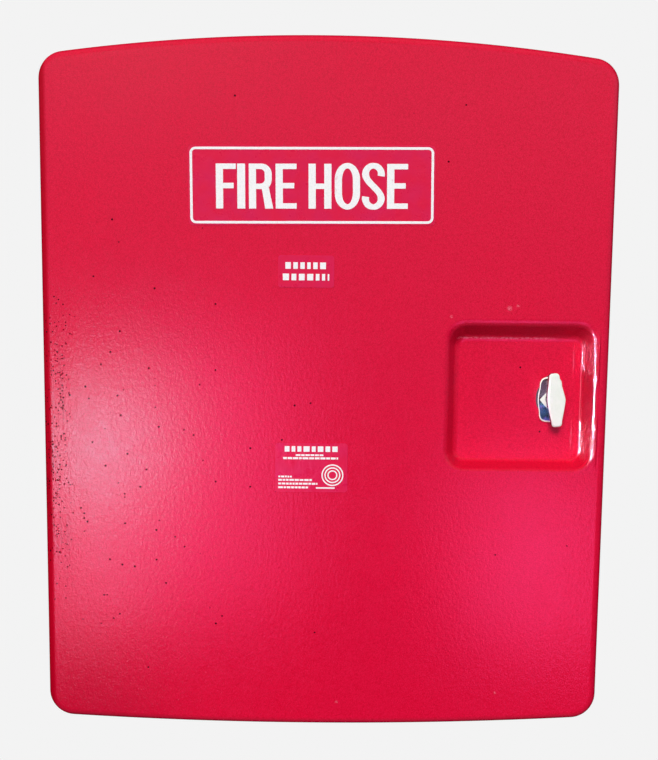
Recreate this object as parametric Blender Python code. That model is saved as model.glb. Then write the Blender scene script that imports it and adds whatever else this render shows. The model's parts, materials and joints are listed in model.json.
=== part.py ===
"""Fibreglass fire hose cabinet: moulded body, overlay door on a continuous hinge,
quarter-turn T-handle latch in a moulded pocket, and the fittings that hold the hose.

Metres, +Z up. The front faces -Y and the back goes against a wall at +Y. The origin is
the centre of the body's flat underside. Most pieces are drawn in the front view: their
local X is the world's X, local Y is the world's Z, and local Z points out at the viewer.
"""

import math

import bmesh
import bpy
from mathutils import Matrix, Vector

GAP = 0.0003  # clearance left between pieces that touch

# Outline of the door and of the body behind it
HALF_WIDTH = 0.3593
TOP = 0.8836  # crest of the arched top
TOP_CROWN = 0.0274  # how far the top falls from its middle to its ends
DOOR_LOW = 0.003  # lowest point of the door's arched lower edge
DOOR_LOW_CROWN = 0.0115
CORNER_RADIUS = 0.034
CORNER_STEPS = 6
ARCH_STEPS = 10

# Depths, as the distance out from the origin towards the viewer
BODY_FRONT = 0.108
BODY_BACK = -0.100
PAD_BACK = -0.108
SEAL_THICKNESS = 0.006
RIM_EDGE = BODY_FRONT + SEAL_THICKNESS
DOOR_FACE = 0.172

# Laminate
DOOR_WALL = 0.004
BODY_WALL = 0.0045
DOOR_EDGE_RADIUS = 0.012
BODY_BACK_RADIUS = 0.012
EDGE_STEPS = 4
FRAME_WIDTH = 0.0308
FRAME_THICKNESS = 0.005
TUB_FRONT = BODY_FRONT - FRAME_THICKNESS - GAP

# Latch pocket: rim on the face, floor behind it
POCKET_DEPTH = 0.028
POCKET_RIM = (0.246, 0.4393, 0.0945, 0.0935)  # centre x, centre z, half width, half height
POCKET_FLOOR = (0.248, 0.4330, 0.0785, 0.0795)
POCKET_RIM_RADIUS = 0.025
POCKET_FLOOR_RADIUS = 0.012
FLOOR = DOOR_FACE - POCKET_DEPTH

# Latch
LATCH_X = 0.2915
LATCH_Z = 0.4353
HANDLE_LENGTH = 0.069
HANDLE_WIDTH = 0.0250
HANDLE_END_WIDTH = 0.0110
HANDLE_THICKNESS = 0.011
HANDLE_BULGE = 1.1  # near 1 the long sides are straight, and higher they are rounder
PLATE_LENGTH = 0.060
PLATE_WIDTH = 0.036
PLATE_END_WIDTH = 0.020
PLATE_THICKNESS = 0.006
PLATE_BULGE = 2.4
SPINDLE_RADIUS = 0.005
BARREL_RADIUS = 0.0095
CAM_LENGTH = 0.047
CAM_THICKNESS = 0.0035
HANDLE_LEAN = 6.0  # degrees, the top of the handle towards the hinge, when the cam is upright

# Keeper plate behind the front frame
KEEPER_THICKNESS = 0.0025
KEEPER_X = 0.3398
KEEPER_RIVET_X = 0.3345
KEEPER_HALF_HEIGHT = 0.052
KEEPER_RIVET_Z = (LATCH_Z - 0.0445, LATCH_Z + 0.0445)  # outside the cam's sweep

# Hinge
PIN_RADIUS = 0.0024
KNUCKLE_RADIUS = 0.0045
LEAF_THICKNESS = 0.0018
LEAF_WIDTH = 0.033
HINGE_LOW = 0.080
HINGE_LENGTH = 0.700
KNUCKLES = 14
PIN_X = -(HALF_WIDTH + GAP + KNUCKLE_RADIUS)
PIN_OUT = BODY_FRONT + SEAL_THICKNESS / 2
RIVETS_PER_LEAF = 6
RIVET_RADIUS = 0.0023
RIVET_OFFSET = 0.020  # from the pin's axis, along the leaf

# Hose saddle
SADDLE_Z = 0.560
SADDLE_RADIUS = 0.120
SADDLE_SHEET = 0.003
SADDLE_REACH = 0.165
SADDLE_LIP = 0.145
SADDLE_PLATE = (0.0, 0.600, 0.140, 0.100)
SADDLE_BOLTS = [(-0.070, 0.535), (0.070, 0.535), (-0.070, 0.630), (0.070, 0.630)]
BOLT_RADIUS = 0.0038

# Nozzle clip on the right wall, spanner hook on the left
CLIP_RADIUS = 0.020
CLIP_SHEET = 0.0016
CLIP_WIDTH = 0.026
CLIP_X = HALF_WIDTH - BODY_WALL - GAP - CLIP_RADIUS - CLIP_SHEET
CLIP_Y = 0.000
CLIP_Z = 0.620
HOOK_SHEET = 0.003
HOOK_WIDTH = 0.020
HOOK_BEND = 0.012
HOOK_OPENING = 0.026  # from the wall to the middle of the bend
HOOK_Y = 0.010
HOOK_RIVET_Z = (0.640, 0.668)

# Wall fixing
WALL_HOLE_X = 0.240
WALL_HOLE_ROWS = (0.110, 0.740)
WALL_HOLE_RADIUS = 0.0055
PAD_HALF_HEIGHT = 0.040
STRAP_THICKNESS = 0.004

# Adhesive films on the door: name, centre x, centre z, width, height, turn in degrees
FILMS = [
    ("sign_film", -0.0206, 0.6998, 0.3060, 0.0970, 0.57),
    ("notice_film", -0.0270, 0.5943, 0.0700, 0.0400, 0.0),
    ("maker_film", -0.0183, 0.3463, 0.0920, 0.0630, 0.0),
]
FILM_THICKNESS = 0.0004

FRONT_VIEW = (math.pi / 2, 0.0, 0.0)  # local Z out at the viewer
LEFTWARD = (0.0, -math.pi / 2, 0.0)  # local Z towards -X
RIGHTWARD = (0.0, math.pi / 2, 0.0)  # local Z towards +X
UPRIGHT = (0.0, 0.0, 0.0)


# ---------------------------------------------------------------- scene and materials


def clear_scene():
    for obj in list(bpy.data.objects):
        bpy.data.objects.remove(obj)


def material(name, colour, roughness, metallic=0.0):
    made = bpy.data.materials.new(name)
    made.use_nodes = True
    shader = made.node_tree.nodes["Principled BSDF"]
    shader.inputs["Base Color"].default_value = (*colour, 1.0)
    shader.inputs["Roughness"].default_value = roughness
    shader.inputs["Metallic"].default_value = metallic
    return made


def empty(name, location, parent=None):
    """An empty on a joint's axis, which carries the pieces of one moving body."""
    made = bpy.data.objects.new(name, None)
    made.location = Vector(location) - (parent.location if parent else Vector())
    made.parent = parent
    bpy.context.scene.collection.objects.link(made)
    return made


def place(name, mesh, finish, carrier, location=(0, 0, 0), rotation=FRONT_VIEW):
    """A named object with its own material, at a place given in the world's coordinates."""
    obj = bpy.data.objects.new(name, mesh)
    obj.rotation_euler = rotation
    obj.location = location
    bpy.context.scene.collection.objects.link(obj)
    if finish and not mesh.materials:
        mesh.materials.append(finish)
    if carrier:
        bpy.context.view_layer.update()
        obj.parent = carrier
        obj.matrix_parent_inverse = carrier.matrix_world.inverted()
    return obj


def cutter(mesh, location=(0, 0, 0), rotation=FRONT_VIEW):
    """A helper shape that Booleans use and nobody sees."""
    obj = place("cutter", mesh, None, None, location, rotation)
    obj.hide_render = True
    obj.display_type = "WIRE"
    return obj


def combine(obj, other, operation):
    modifier = obj.modifiers.new(operation.lower(), "BOOLEAN")
    modifier.operation = operation
    modifier.solver = "EXACT"
    modifier.object = other


# ---------------------------------------------------------------- outlines


def arc(centre, radius, start, end, steps):
    """Points on an arc, both ends included; the angles are in degrees."""
    angles = (math.radians(start + (end - start) * i / steps) for i in range(steps + 1))
    return [(centre[0] + radius * math.cos(a), centre[1] + radius * math.sin(a)) for a in angles]


def circle(radius, sides, centre=(0.0, 0.0)):
    return arc(centre, radius, 0, 360 - 360 / sides, sides - 1)


def rounded_rectangle(centre_x, centre_y, half_width, half_height, radius, steps=CORNER_STEPS):
    points = []
    for sign_x, sign_y, start in ((1, 1, 0), (-1, 1, 90), (-1, -1, 180), (1, -1, 270)):
        centre = (
            centre_x + sign_x * (half_width - radius),
            centre_y + sign_y * (half_height - radius),
        )
        points += arc(centre, radius, start, start + 90, steps)
    return points


def crown_height(x, crown):
    """How far an arched edge falls between its middle and x."""
    return crown * (x / HALF_WIDTH) ** 2


def arched_outline(inset, low, low_crown):
    """Straight sides, an arched top, a lower edge arched by low_crown, and round corners that
    run smoothly into all four. The whole outline is moved inwards by inset."""
    radius = max(CORNER_RADIUS - inset, 0.006)
    reach = HALF_WIDTH - inset - radius
    corners = []
    for crown, edge, way in ((TOP_CROWN, TOP - inset, -1), (low_crown, low + inset, 1)):
        slope = math.atan(2 * crown * reach / HALF_WIDTH**2)
        end_x = reach + radius * math.sin(slope)
        end_y = edge + way * crown_height(end_x, crown)
        corners.append((end_x, end_y + way * radius * math.cos(slope), math.degrees(slope)))
    (top_x, top_centre, top_slope), (low_x, low_centre, low_slope) = corners
    points = arc((reach, top_centre), radius, 0, 90 - top_slope, CORNER_STEPS)
    for i in range(1, ARCH_STEPS):
        x = top_x * (1 - 2 * i / ARCH_STEPS)
        points.append((x, TOP - inset - crown_height(x, TOP_CROWN)))
    points += arc((-reach, top_centre), radius, 90 + top_slope, 180, CORNER_STEPS)
    points += arc((-reach, low_centre), radius, 180, 270 - low_slope, CORNER_STEPS)
    for i in range(1, ARCH_STEPS):
        x = -low_x * (1 - 2 * i / ARCH_STEPS)
        points.append((x, low + inset + crown_height(x, low_crown)))
    points += arc((reach, low_centre), radius, 270 + low_slope, 360, CORNER_STEPS)
    return points


def door_outline(inset):
    return arched_outline(inset, DOOR_LOW, DOOR_LOW_CROWN)


def body_outline(inset):
    """The body's outline: as the door's, but flat underneath, at height zero."""
    return arched_outline(inset, 0.0, 0.0)


def lozenge(length, width, end_width, bulge, scale=1.0, steps=8):
    """A long outline that is widest in the middle and narrows to round ends."""
    end_radius = end_width / 2 * scale
    straight = length / 2 * scale - end_radius
    extra = (width - end_width) / 2 * scale
    side = []
    for i in range(-steps, steps + 1):
        share = i / steps
        side.append((end_radius + extra * (1 - abs(share) ** bulge), share * straight))
    top = arc((0.0, straight), end_radius, 0, 180, 8)[1:-1]
    mirrored = [(-x, -y) for x, y in side]
    bottom = [(-x, -y) for x, y in top]
    return side + top + mirrored + bottom


def strip_outline(path, thickness):
    """The outline of sheet metal of this thickness that follows a path, on its left side."""
    inner = []
    for i, point in enumerate(path):
        before = Vector(path[max(i - 1, 0)])
        after = Vector(path[min(i + 1, len(path) - 1)])
        along = (after - before).normalized()
        inner.append((point[0] - along.y * thickness, point[1] + along.x * thickness))
    return list(path) + inner[::-1]


# ---------------------------------------------------------------- solids


def finished(name, maker, smooth_angle=40):
    """Turns a bmesh into a mesh with its faces outwards, smooth but for its sharp edges."""
    bmesh.ops.recalc_face_normals(maker, faces=maker.faces)
    mesh = bpy.data.meshes.new(name)
    maker.to_mesh(mesh)
    maker.free()
    mesh.shade_smooth()
    mesh.set_sharp_from_angle(angle=math.radians(smooth_angle))
    return mesh


def add_loft(maker, rings):
    """Adds one closed solid through rings of (outline, height), which all have as many points."""
    loops = [[maker.verts.new((x, y, height)) for x, y in outline] for outline, height in rings]
    count = len(loops[0])
    for lower, upper in zip(loops, loops[1:]):
        for i in range(count):
            j = (i + 1) % count
            maker.faces.new((lower[i], lower[j], upper[j], upper[i]))
    maker.faces.new(loops[0][::-1])
    maker.faces.new(loops[-1])


def loft(name, rings):
    maker = bmesh.new()
    add_loft(maker, rings)
    return finished(name, maker)


def prism(name, outline, low, high):
    return loft(name, [(outline, low), (outline, high)])


def turned(name, profile, sides):
    """A solid of revolution about local Z through points of (radius, height)."""
    return loft(name, [(circle(radius, sides), height) for radius, height in profile])


def band(name, outer, inner, low, high):
    """A closed loop of rectangular section between two outlines, such as a seal or a washer."""
    maker = bmesh.new()
    walls = [(outer, low), (outer, high), (inner, high), (inner, low)]
    loops = [[maker.verts.new((x, y, height)) for x, y in outline] for outline, height in walls]
    count = len(outer)
    for here, there in zip(loops, loops[1:] + loops[:1]):
        for i in range(count):
            j = (i + 1) % count
            maker.faces.new((here[i], here[j], there[j], there[i]))
    return finished(name, maker)


def holes(places, sides=12):
    """One cutter for many round holes, each (point, direction, radius, length), with its
    middle at the point and its radius measured to the flats. Everything is in the world's
    coordinates."""
    maker = bmesh.new()
    for point, direction, clear, length in places:
        radius = clear / math.cos(math.pi / sides)
        turn = Vector(direction).to_track_quat("Z", "Y").to_matrix().to_4x4()
        bmesh.ops.create_cone(
            maker,
            cap_ends=True,
            segments=sides,
            radius1=radius,
            radius2=radius,
            depth=length,
            matrix=Matrix.Translation(point) @ turn,
        )
    return cutter(finished("holes", maker), rotation=UPRIGHT)


def front(x, z, out):
    """A world point from its place in the front view and its distance out."""
    return (x, -out, z)


# ---------------------------------------------------------------- laminated shells


def shell_rings(outline_at, start, face, wall, radius):
    """Rings of a pan: straight walls from start, a round edge, and a flat face."""
    rings = [(outline_at(wall), start)]
    way = 1 if face > start else -1
    for i in range(EDGE_STEPS + 1):
        angle = math.radians(90 * i / EDGE_STEPS)
        inset = wall + radius * (1 - math.cos(angle))
        rings.append((outline_at(inset), face + way * radius * (math.sin(angle) - 1)))
    return rings


def pocket_rings(thickness, start_out):
    """The latch pocket as a solid: the hollow itself at thickness 0, or the laminate's outside."""
    steps = [(0.0, 0.0), (0.10, 0.30), (0.85, 0.80), (1.0, 1.0)]  # share of depth, of slope
    rings = []
    for deep, slope in steps:
        sizes = [a + (b - a) * slope for a, b in zip(POCKET_RIM, POCKET_FLOOR)]
        radius = POCKET_RIM_RADIUS + (POCKET_FLOOR_RADIUS - POCKET_RIM_RADIUS) * slope
        outline = rounded_rectangle(
            sizes[0], sizes[1], sizes[2] + thickness, sizes[3] + thickness, radius + thickness
        )
        depth = deep * (POCKET_DEPTH + thickness)
        rings.append((outline, DOOR_FACE - depth))
    rings[0] = (rings[0][0], start_out)
    return rings


def make_door(carrier, finish):
    rings = shell_rings(door_outline, RIM_EDGE, DOOR_FACE, 0.0, DOOR_EDGE_RADIUS)
    door = place("door_shell", loft("door_shell", rings), finish, carrier)
    hollow = shell_rings(
        door_outline,
        RIM_EDGE - 0.01,
        DOOR_FACE - DOOR_WALL,
        DOOR_WALL,
        DOOR_EDGE_RADIUS - DOOR_WALL,
    )
    combine(door, cutter(loft("hollow", hollow)), "DIFFERENCE")
    block = pocket_rings(DOOR_WALL, DOOR_FACE - DOOR_WALL / 2)
    combine(door, cutter(loft("pocket_block", block)), "UNION")
    void = pocket_rings(0.0, DOOR_FACE + 0.002)
    combine(door, cutter(loft("pocket_void", void)), "DIFFERENCE")
    drilled = [
        ((-HALF_WIDTH, -(PIN_OUT + RIVET_OFFSET), z), (1, 0, 0), RIVET_RADIUS + GAP, 0.02)
        for z in rivet_heights()
    ]
    drilled.append((front(LATCH_X, LATCH_Z, FLOOR), (0, 1, 0), BARREL_RADIUS + GAP, 0.02))
    combine(door, holes(drilled), "DIFFERENCE")


def make_body(finish):
    """The tub, open at the front, and the flat frame bonded to its front edge."""
    outer = shell_rings(body_outline, TUB_FRONT, BODY_BACK, 0.0, BODY_BACK_RADIUS)
    body = place("cabinet_body", loft("cabinet_body", outer), finish, None)
    hollow = shell_rings(
        body_outline,
        TUB_FRONT + 0.01,
        BODY_BACK + BODY_WALL,
        BODY_WALL,
        BODY_BACK_RADIUS - BODY_WALL,
    )
    combine(body, cutter(loft("hollow", hollow)), "DIFFERENCE")
    mouth = arched_outline(FRAME_WIDTH, DOOR_LOW, 0.0)
    ring = band(
        "front_frame", body_outline(0.0), mouth, BODY_FRONT - FRAME_THICKNESS, BODY_FRONT
    )
    frame = place("front_frame", ring, finish, None)
    combine(frame, holes(keeper_holes()), "DIFFERENCE")
    for z in WALL_HOLE_ROWS:
        pad = rounded_rectangle(0.0, z, 0.300, PAD_HALF_HEIGHT, 0.015)
        combine(body, cutter(prism("pad", pad, PAD_BACK, BODY_BACK + 0.003)), "UNION")
    combine(body, holes(body_holes()), "DIFFERENCE")
    return body


def body_holes():
    """Every hole drilled in the tub."""
    places = [
        ((x, 0.1, z), (0, 1, 0), WALL_HOLE_RADIUS, 0.05)
        for x in (-WALL_HOLE_X, WALL_HOLE_X)
        for z in WALL_HOLE_ROWS
    ]
    places += [((x, 0.1, z), (0, 1, 0), BOLT_RADIUS + GAP, 0.05) for x, z in SADDLE_BOLTS]
    places += [
        ((-HALF_WIDTH, RIVET_OFFSET - PIN_OUT, z), (1, 0, 0), RIVET_RADIUS + GAP, 0.02)
        for z in rivet_heights()
    ]
    places += [(point, (1, 0, 0), RIVET_RADIUS + GAP, 0.02) for point in side_rivets()]
    places += [((x, 0.0, 0.0), (0, 0, 1), 0.006, 0.03) for x in (-0.25, 0.25)]
    return places


def keeper_holes():
    """The holes of the keeper plate's rivets, through the plate and the frame."""
    return [
        (front(KEEPER_RIVET_X, z, BODY_FRONT), (0, 1, 0), RIVET_RADIUS + GAP, 0.03)
        for z in KEEPER_RIVET_Z
    ]


def make_seal(finish):
    """The rubber seal on the front frame, under the door's rim."""
    mesh = band(
        "door_seal",
        door_outline(0.001),
        door_outline(0.0115),
        BODY_FRONT + GAP,
        RIM_EDGE - GAP,
    )
    place("door_seal", mesh, finish, None)


# ---------------------------------------------------------------- hinge


def rivet_heights():
    pitch = HINGE_LENGTH / RIVETS_PER_LEAF
    return [HINGE_LOW + pitch * (i + 0.5) for i in range(RIVETS_PER_LEAF)]


def leaf_mesh(name, way, first):
    """One leaf about the pin, seen from above: way is -1 for the door's leaf, which runs
    forwards, and 1 for the body's. The knuckles are every second one from first."""
    inner = KNUCKLE_RADIUS
    outer = KNUCKLE_RADIUS - LEAF_THICKNESS
    clear = KNUCKLE_RADIUS + 0.0003
    strip = [
        (outer, way * clear),
        (inner, way * clear),
        (inner, way * LEAF_WIDTH),
        (outer, way * LEAF_WIDTH),
    ]
    leaf = place(name, prism(name, strip, 0.0, HINGE_LENGTH), None, None, rotation=UPRIGHT)
    meet = math.degrees(math.acos(outer / KNUCKLE_RADIUS))
    curl = arc((0.0, 0.0), KNUCKLE_RADIUS, 0, 360 - meet, 13)
    curl += [(outer, -clear - 0.001), (inner, -clear - 0.001)]
    if way > 0:
        curl = [(x, -y) for x, y in curl]
    pitch = HINGE_LENGTH / KNUCKLES
    maker = bmesh.new()
    for i in range(first, KNUCKLES, 2):
        add_loft(maker, [(curl, i * pitch + GAP), (curl, (i + 1) * pitch - GAP)])
    combine(leaf, cutter(finished("knuckles", maker), rotation=UPRIGHT), "UNION")
    return leaf


def make_leaf(name, way, first, finish, carrier):
    leaf = leaf_mesh(name, way, first)
    middle = ((0.0, 0.0, HINGE_LENGTH / 2), (0, 0, 1), PIN_RADIUS + GAP, HINGE_LENGTH + 0.02)
    drilled = [
        ((KNUCKLE_RADIUS, way * RIVET_OFFSET, z - HINGE_LOW), (1, 0, 0), RIVET_RADIUS + GAP, 0.01)
        for z in rivet_heights()
    ]
    combine(leaf, holes([middle] + drilled), "DIFFERENCE")
    leaf.data.materials.append(finish)
    pin_place = Vector((PIN_X, -PIN_OUT, HINGE_LOW))
    for modifier in leaf.modifiers:
        modifier.object.location = pin_place
    leaf.location = pin_place
    if carrier:
        bpy.context.view_layer.update()
        leaf.parent = carrier
        leaf.matrix_parent_inverse = carrier.matrix_world.inverted()


def make_pin(finish):
    head = PIN_RADIUS + 0.0012
    profile = [
        (head, -0.002),
        (head, -GAP),
        (PIN_RADIUS, -GAP),
        (PIN_RADIUS, HINGE_LENGTH + GAP),
        (head, HINGE_LENGTH + GAP),
        (head, HINGE_LENGTH + 0.002),
    ]
    mesh = turned("hinge_pin", profile, 12)
    place("hinge_pin", mesh, finish, None, (PIN_X, -PIN_OUT, HINGE_LOW), UPRIGHT)


def rivet_mesh(name, grip):
    """A blind rivet: a domed head above local zero, a shank through grip, and the set end."""
    head = 0.0046
    tail = 0.0036
    profile = [
        (tail * 0.7, -grip - 0.0032),
        (tail, -grip - 0.0024),
        (tail, -grip - GAP),
        (RIVET_RADIUS, -grip - GAP),
        (RIVET_RADIUS, GAP),
        (head, GAP),
        (head, 0.0008),
        (head * 0.45, 0.0017),
    ]
    return turned(name, profile, 10)


def make_hinge_rivets(door, finish):
    leaf_outside = PIN_X + KNUCKLE_RADIUS - LEAF_THICKNESS
    for label, carrier, wall, way in (
        ("door", door, DOOR_WALL, -1),
        ("body", None, BODY_WALL, 1),
    ):
        mesh = rivet_mesh("leaf_rivet_" + label, LEAF_THICKNESS + GAP + wall)
        for number, z in enumerate(rivet_heights(), 1):
            where = (leaf_outside, way * RIVET_OFFSET - PIN_OUT, z)
            place(f"hinge_rivet_{label}_{number}", mesh, finish, carrier, where, LEFTWARD)


# ---------------------------------------------------------------- latch


def make_latch_plate(carrier, chrome, steel, rubber):
    """What stays on the door: gasket, escutcheon with its threaded barrel, and the clamp."""
    x, z = LATCH_X, LATCH_Z
    sides = 20
    pad = FLOOR + GAP
    pad_top = pad + 0.0015
    plate = pad_top + GAP
    plate_top = plate + PLATE_THICKNESS
    boss_top = plate_top + 0.0015
    barrel_end = FLOOR - DOOR_WALL - 0.0125

    sizes = (PLATE_LENGTH, PLATE_WIDTH, PLATE_END_WIDTH, PLATE_BULGE)
    outline = lozenge(*sizes)
    gasket = place("latch_gasket", prism("latch_gasket", outline, pad, pad_top), rubber, carrier)
    gasket.location = (x, 0.0, z)
    bore = turned("bore", [(BARREL_RADIUS + GAP, pad - 0.01), (BARREL_RADIUS + GAP, 0.16)], sides)
    combine(gasket, cutter(bore, (x, 0.0, z)), "DIFFERENCE")

    rings = [
        (outline, plate),
        (outline, plate_top - 0.0025),
        (lozenge(*sizes, 0.93), plate_top - 0.0007),
        (lozenge(*sizes, 0.86), plate_top),
    ]
    cover = place("latch_escutcheon", loft("latch_escutcheon", rings), chrome, carrier)
    cover.location = (x, 0.0, z)
    barrel = turned("barrel", [(BARREL_RADIUS, barrel_end), (BARREL_RADIUS, boss_top)], sides)
    combine(cover, cutter(barrel, (x, 0.0, z)), "UNION")
    seat = boss_top - 0.0030
    bore = turned(
        "bore",
        [
            (SPINDLE_RADIUS + 0.0005, barrel_end - 0.01),
            (SPINDLE_RADIUS + 0.0005, seat),
            (0.0078, seat),
            (0.0078, boss_top + 0.01),
        ],
        sides,
    )
    combine(cover, cutter(bore, (x, 0.0, z)), "DIFFERENCE")

    behind = FLOOR - DOOR_WALL - GAP
    backing = prism(
        "latch_backing_plate",
        rounded_rectangle(0.0, 0.0, 0.030, 0.036, 0.006),
        behind - 0.0025,
        behind,
    )
    backing = place("latch_backing_plate", backing, steel, carrier, (x, 0.0, z))
    through = turned("bore", [(BARREL_RADIUS + GAP, 0.12), (BARREL_RADIUS + GAP, 0.16)], sides)
    combine(backing, cutter(through, (x, 0.0, z)), "DIFFERENCE")
    nut_top = behind - 0.0025 - GAP
    nut = hex_nut("latch_clamp_nut", 0.0155, BARREL_RADIUS + GAP, nut_top - 0.007, nut_top)
    place("latch_clamp_nut", nut, steel, carrier, (x, 0.0, z))
    return seat, boss_top


def hex_nut(name, corner_radius, bore_radius, low, high):
    """A hexagon with a round bore: the outer outline has the corners and the flats' middles,
    and the bore's radius is measured to its flats."""
    sides = 12
    flat = corner_radius * math.cos(math.pi / 6)
    outer = []
    for i in range(sides):
        angle = 2 * math.pi * i / sides
        off_flat = (angle + math.pi / 6) % (math.pi / 3) - math.pi / 6
        radius = flat / math.cos(off_flat)
        outer.append((radius * math.cos(angle), radius * math.sin(angle)))
    bore = circle(bore_radius / math.cos(math.pi / sides), sides)
    return band(name, outer, bore, low, high)


def make_latch_turning(carrier, seat, boss_top, chrome, steel, rubber):
    """What turns: handle, spindle, its seal, cam, washer and nut."""
    where = (LATCH_X, 0.0, LATCH_Z)
    wing = DOOR_FACE - HANDLE_THICKNESS
    sizes = (HANDLE_LENGTH, HANDLE_WIDTH, HANDLE_END_WIDTH, HANDLE_BULGE)
    rings = [
        (lozenge(*sizes, 0.84), wing),
        (lozenge(*sizes, 1.0), wing + 0.0025),
        (lozenge(*sizes, 1.0), DOOR_FACE - 0.0030),
        (lozenge(*sizes, 0.93), DOOR_FACE - 0.0008),
        (lozenge(*sizes, 0.80), DOOR_FACE),
    ]
    lean = (math.pi / 2, math.radians(-HANDLE_LEAN), 0.0)
    handle = place("latch_handle", loft("latch_handle", rings), chrome, carrier, where, lean)
    neck = turned("neck", [(0.0080, boss_top + GAP), (0.0068, wing + 0.001)], 20)
    combine(handle, cutter(neck, where), "UNION")
    socket = SPINDLE_RADIUS + GAP
    bore = turned("bore", [(socket, boss_top - 0.01), (socket, wing + 0.0055)], 16)
    combine(handle, cutter(bore, where), "DIFFERENCE")

    keeper_back = BODY_FRONT - FRAME_THICKNESS - GAP - KEEPER_THICKNESS
    cam_top = keeper_back - 0.0005
    cam_low = cam_top - CAM_THICKNESS
    washer_top = cam_low - GAP
    nut_top = washer_top - 0.0016 - GAP
    end = nut_top - 0.0065 - 0.002
    square = [(0.0039, 0.0039), (-0.0039, 0.0039), (-0.0039, -0.0039), (0.0039, -0.0039)]
    profile = [
        (0.0036, end),
        (0.0036, cam_top),
        (SPINDLE_RADIUS, cam_top + GAP),
        (SPINDLE_RADIUS, wing + 0.005),
    ]
    shaft = turned("latch_spindle", profile, 16)
    spindle = place("latch_spindle", shaft, steel, carrier, where)
    flats = prism("flats", square, cam_low, cam_top + 0.001)
    combine(spindle, cutter(flats, where), "UNION")

    ring = band(
        "spindle_seal",
        circle(0.0074, 20),
        circle(SPINDLE_RADIUS + GAP, 20),
        seat + GAP,
        boss_top - GAP,
    )
    place("spindle_seal", ring, rubber, carrier, where)

    hub, tip = 0.0115, 0.0080
    taper = math.degrees(math.asin((hub - tip) / CAM_LENGTH))
    outline = arc((0.0, CAM_LENGTH), tip, taper, 180 - taper, 10)
    outline += arc((0.0, 0.0), hub, 180 - taper, 360 + taper, 14)
    cam = place("latch_cam", prism("latch_cam", outline, cam_low, cam_top), steel, carrier, where)
    eye = [(x * 1.08, y * 1.08) for x, y in square]
    combine(cam, cutter(prism("eye", eye, cam_low - 0.01, cam_top + 0.01), where), "DIFFERENCE")

    rims = circle(0.0085, 20), circle(0.0040, 20)
    washer = band("cam_washer", *rims, washer_top - 0.0016, washer_top)
    place("cam_washer", washer, steel, carrier, where)
    nut = hex_nut("cam_nut", 0.0075, 0.0040, nut_top - 0.0065, nut_top)
    place("cam_nut", nut, steel, carrier, where)


def make_keeper(finish):
    """The plate behind the frame that the cam turns behind, and its two rivets."""
    back = BODY_FRONT - FRAME_THICKNESS - GAP
    outline = rounded_rectangle(KEEPER_X, LATCH_Z, 0.0105, KEEPER_HALF_HEIGHT, 0.003, 3)
    keeper = place(
        "keeper_plate",
        prism("keeper_plate", outline, back - KEEPER_THICKNESS, back),
        finish,
        None,
    )
    combine(keeper, holes(keeper_holes()), "DIFFERENCE")
    mesh = rivet_mesh("keeper_rivet", FRAME_THICKNESS + GAP + KEEPER_THICKNESS)
    for label, z in zip(("lower", "upper"), KEEPER_RIVET_Z):
        where = front(KEEPER_RIVET_X, z, BODY_FRONT)
        place(f"keeper_rivet_{label}", mesh, finish, None, where)


# ---------------------------------------------------------------- inside fittings


def make_saddle(steel):
    """The arch that the hose hangs over, welded to a plate and bolted through the back."""
    plate_back = BODY_BACK + BODY_WALL + GAP
    plate_front = plate_back + SADDLE_SHEET
    end = plate_front + SADDLE_REACH
    plate = rounded_rectangle(*SADDLE_PLATE, 0.020)
    saddle = place(
        "hose_saddle", prism("hose_saddle", plate, plate_back, plate_front), steel, None
    )
    centre = (0.0, SADDLE_Z)
    inside = SADDLE_RADIUS - SADDLE_SHEET
    arch = arc(centre, SADDLE_RADIUS, 0, 180, 24) + arc(centre, inside, 180, 0, 24)
    combine(saddle, cutter(prism("arch", arch, plate_front - 0.001, end - 0.001)), "UNION")
    lip = arc(centre, SADDLE_LIP, 2, 178, 24) + arc(centre, inside + 0.001, 178, 2, 24)
    combine(saddle, cutter(prism("lip", lip, end - SADDLE_SHEET, end)), "UNION")
    drilled = [((x, -plate_back, z), (0, 1, 0), BOLT_RADIUS + GAP, 0.02) for x, z in SADDLE_BOLTS]
    combine(saddle, holes(drilled), "DIFFERENCE")

    nut_low = plate_front + GAP
    nut_high = nut_low + 0.0065
    profile = [
        (0.0050, BODY_BACK - 0.0042),
        (0.0095, BODY_BACK - 0.0025),
        (0.0095, BODY_BACK - GAP),
        (BOLT_RADIUS, BODY_BACK - GAP),
        (BOLT_RADIUS, nut_high + 0.003),
    ]
    bolt = turned("saddle_bolt", profile, 12)
    nut = hex_nut("saddle_nut", 0.0075, BOLT_RADIUS + GAP, nut_low, nut_high)
    for number, (x, z) in enumerate(SADDLE_BOLTS, 1):
        place(f"saddle_bolt_{number}", bolt, steel, None, (x, 0.0, z))
        place(f"saddle_nut_{number}", nut, steel, None, (x, 0.0, z))


def make_straps(steel):
    """Flat bars bonded inside the back, which spread the load of the wall bolts."""
    low = BODY_BACK + BODY_WALL + GAP
    for label, z in zip(("lower", "upper"), WALL_HOLE_ROWS):
        outline = rounded_rectangle(0.0, z, 0.280, 0.020, 0.004, 3)
        strap = place(
            f"mounting_strap_{label}",
            prism("mounting_strap", outline, low, low + STRAP_THICKNESS),
            steel,
            None,
        )
        drilled = [
            ((x, -low, z), (0, 1, 0), WALL_HOLE_RADIUS, 0.03)
            for x in (-WALL_HOLE_X, WALL_HOLE_X)
        ]
        combine(strap, holes(drilled), "DIFFERENCE")


def side_rivets():
    """Where blind rivets go through the body's sides, for the nozzle clip and the hook."""
    places = [(HALF_WIDTH, CLIP_Y, CLIP_Z)]
    places += [(-HALF_WIDTH, HOOK_Y, z) for z in HOOK_RIVET_Z]
    return places


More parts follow.
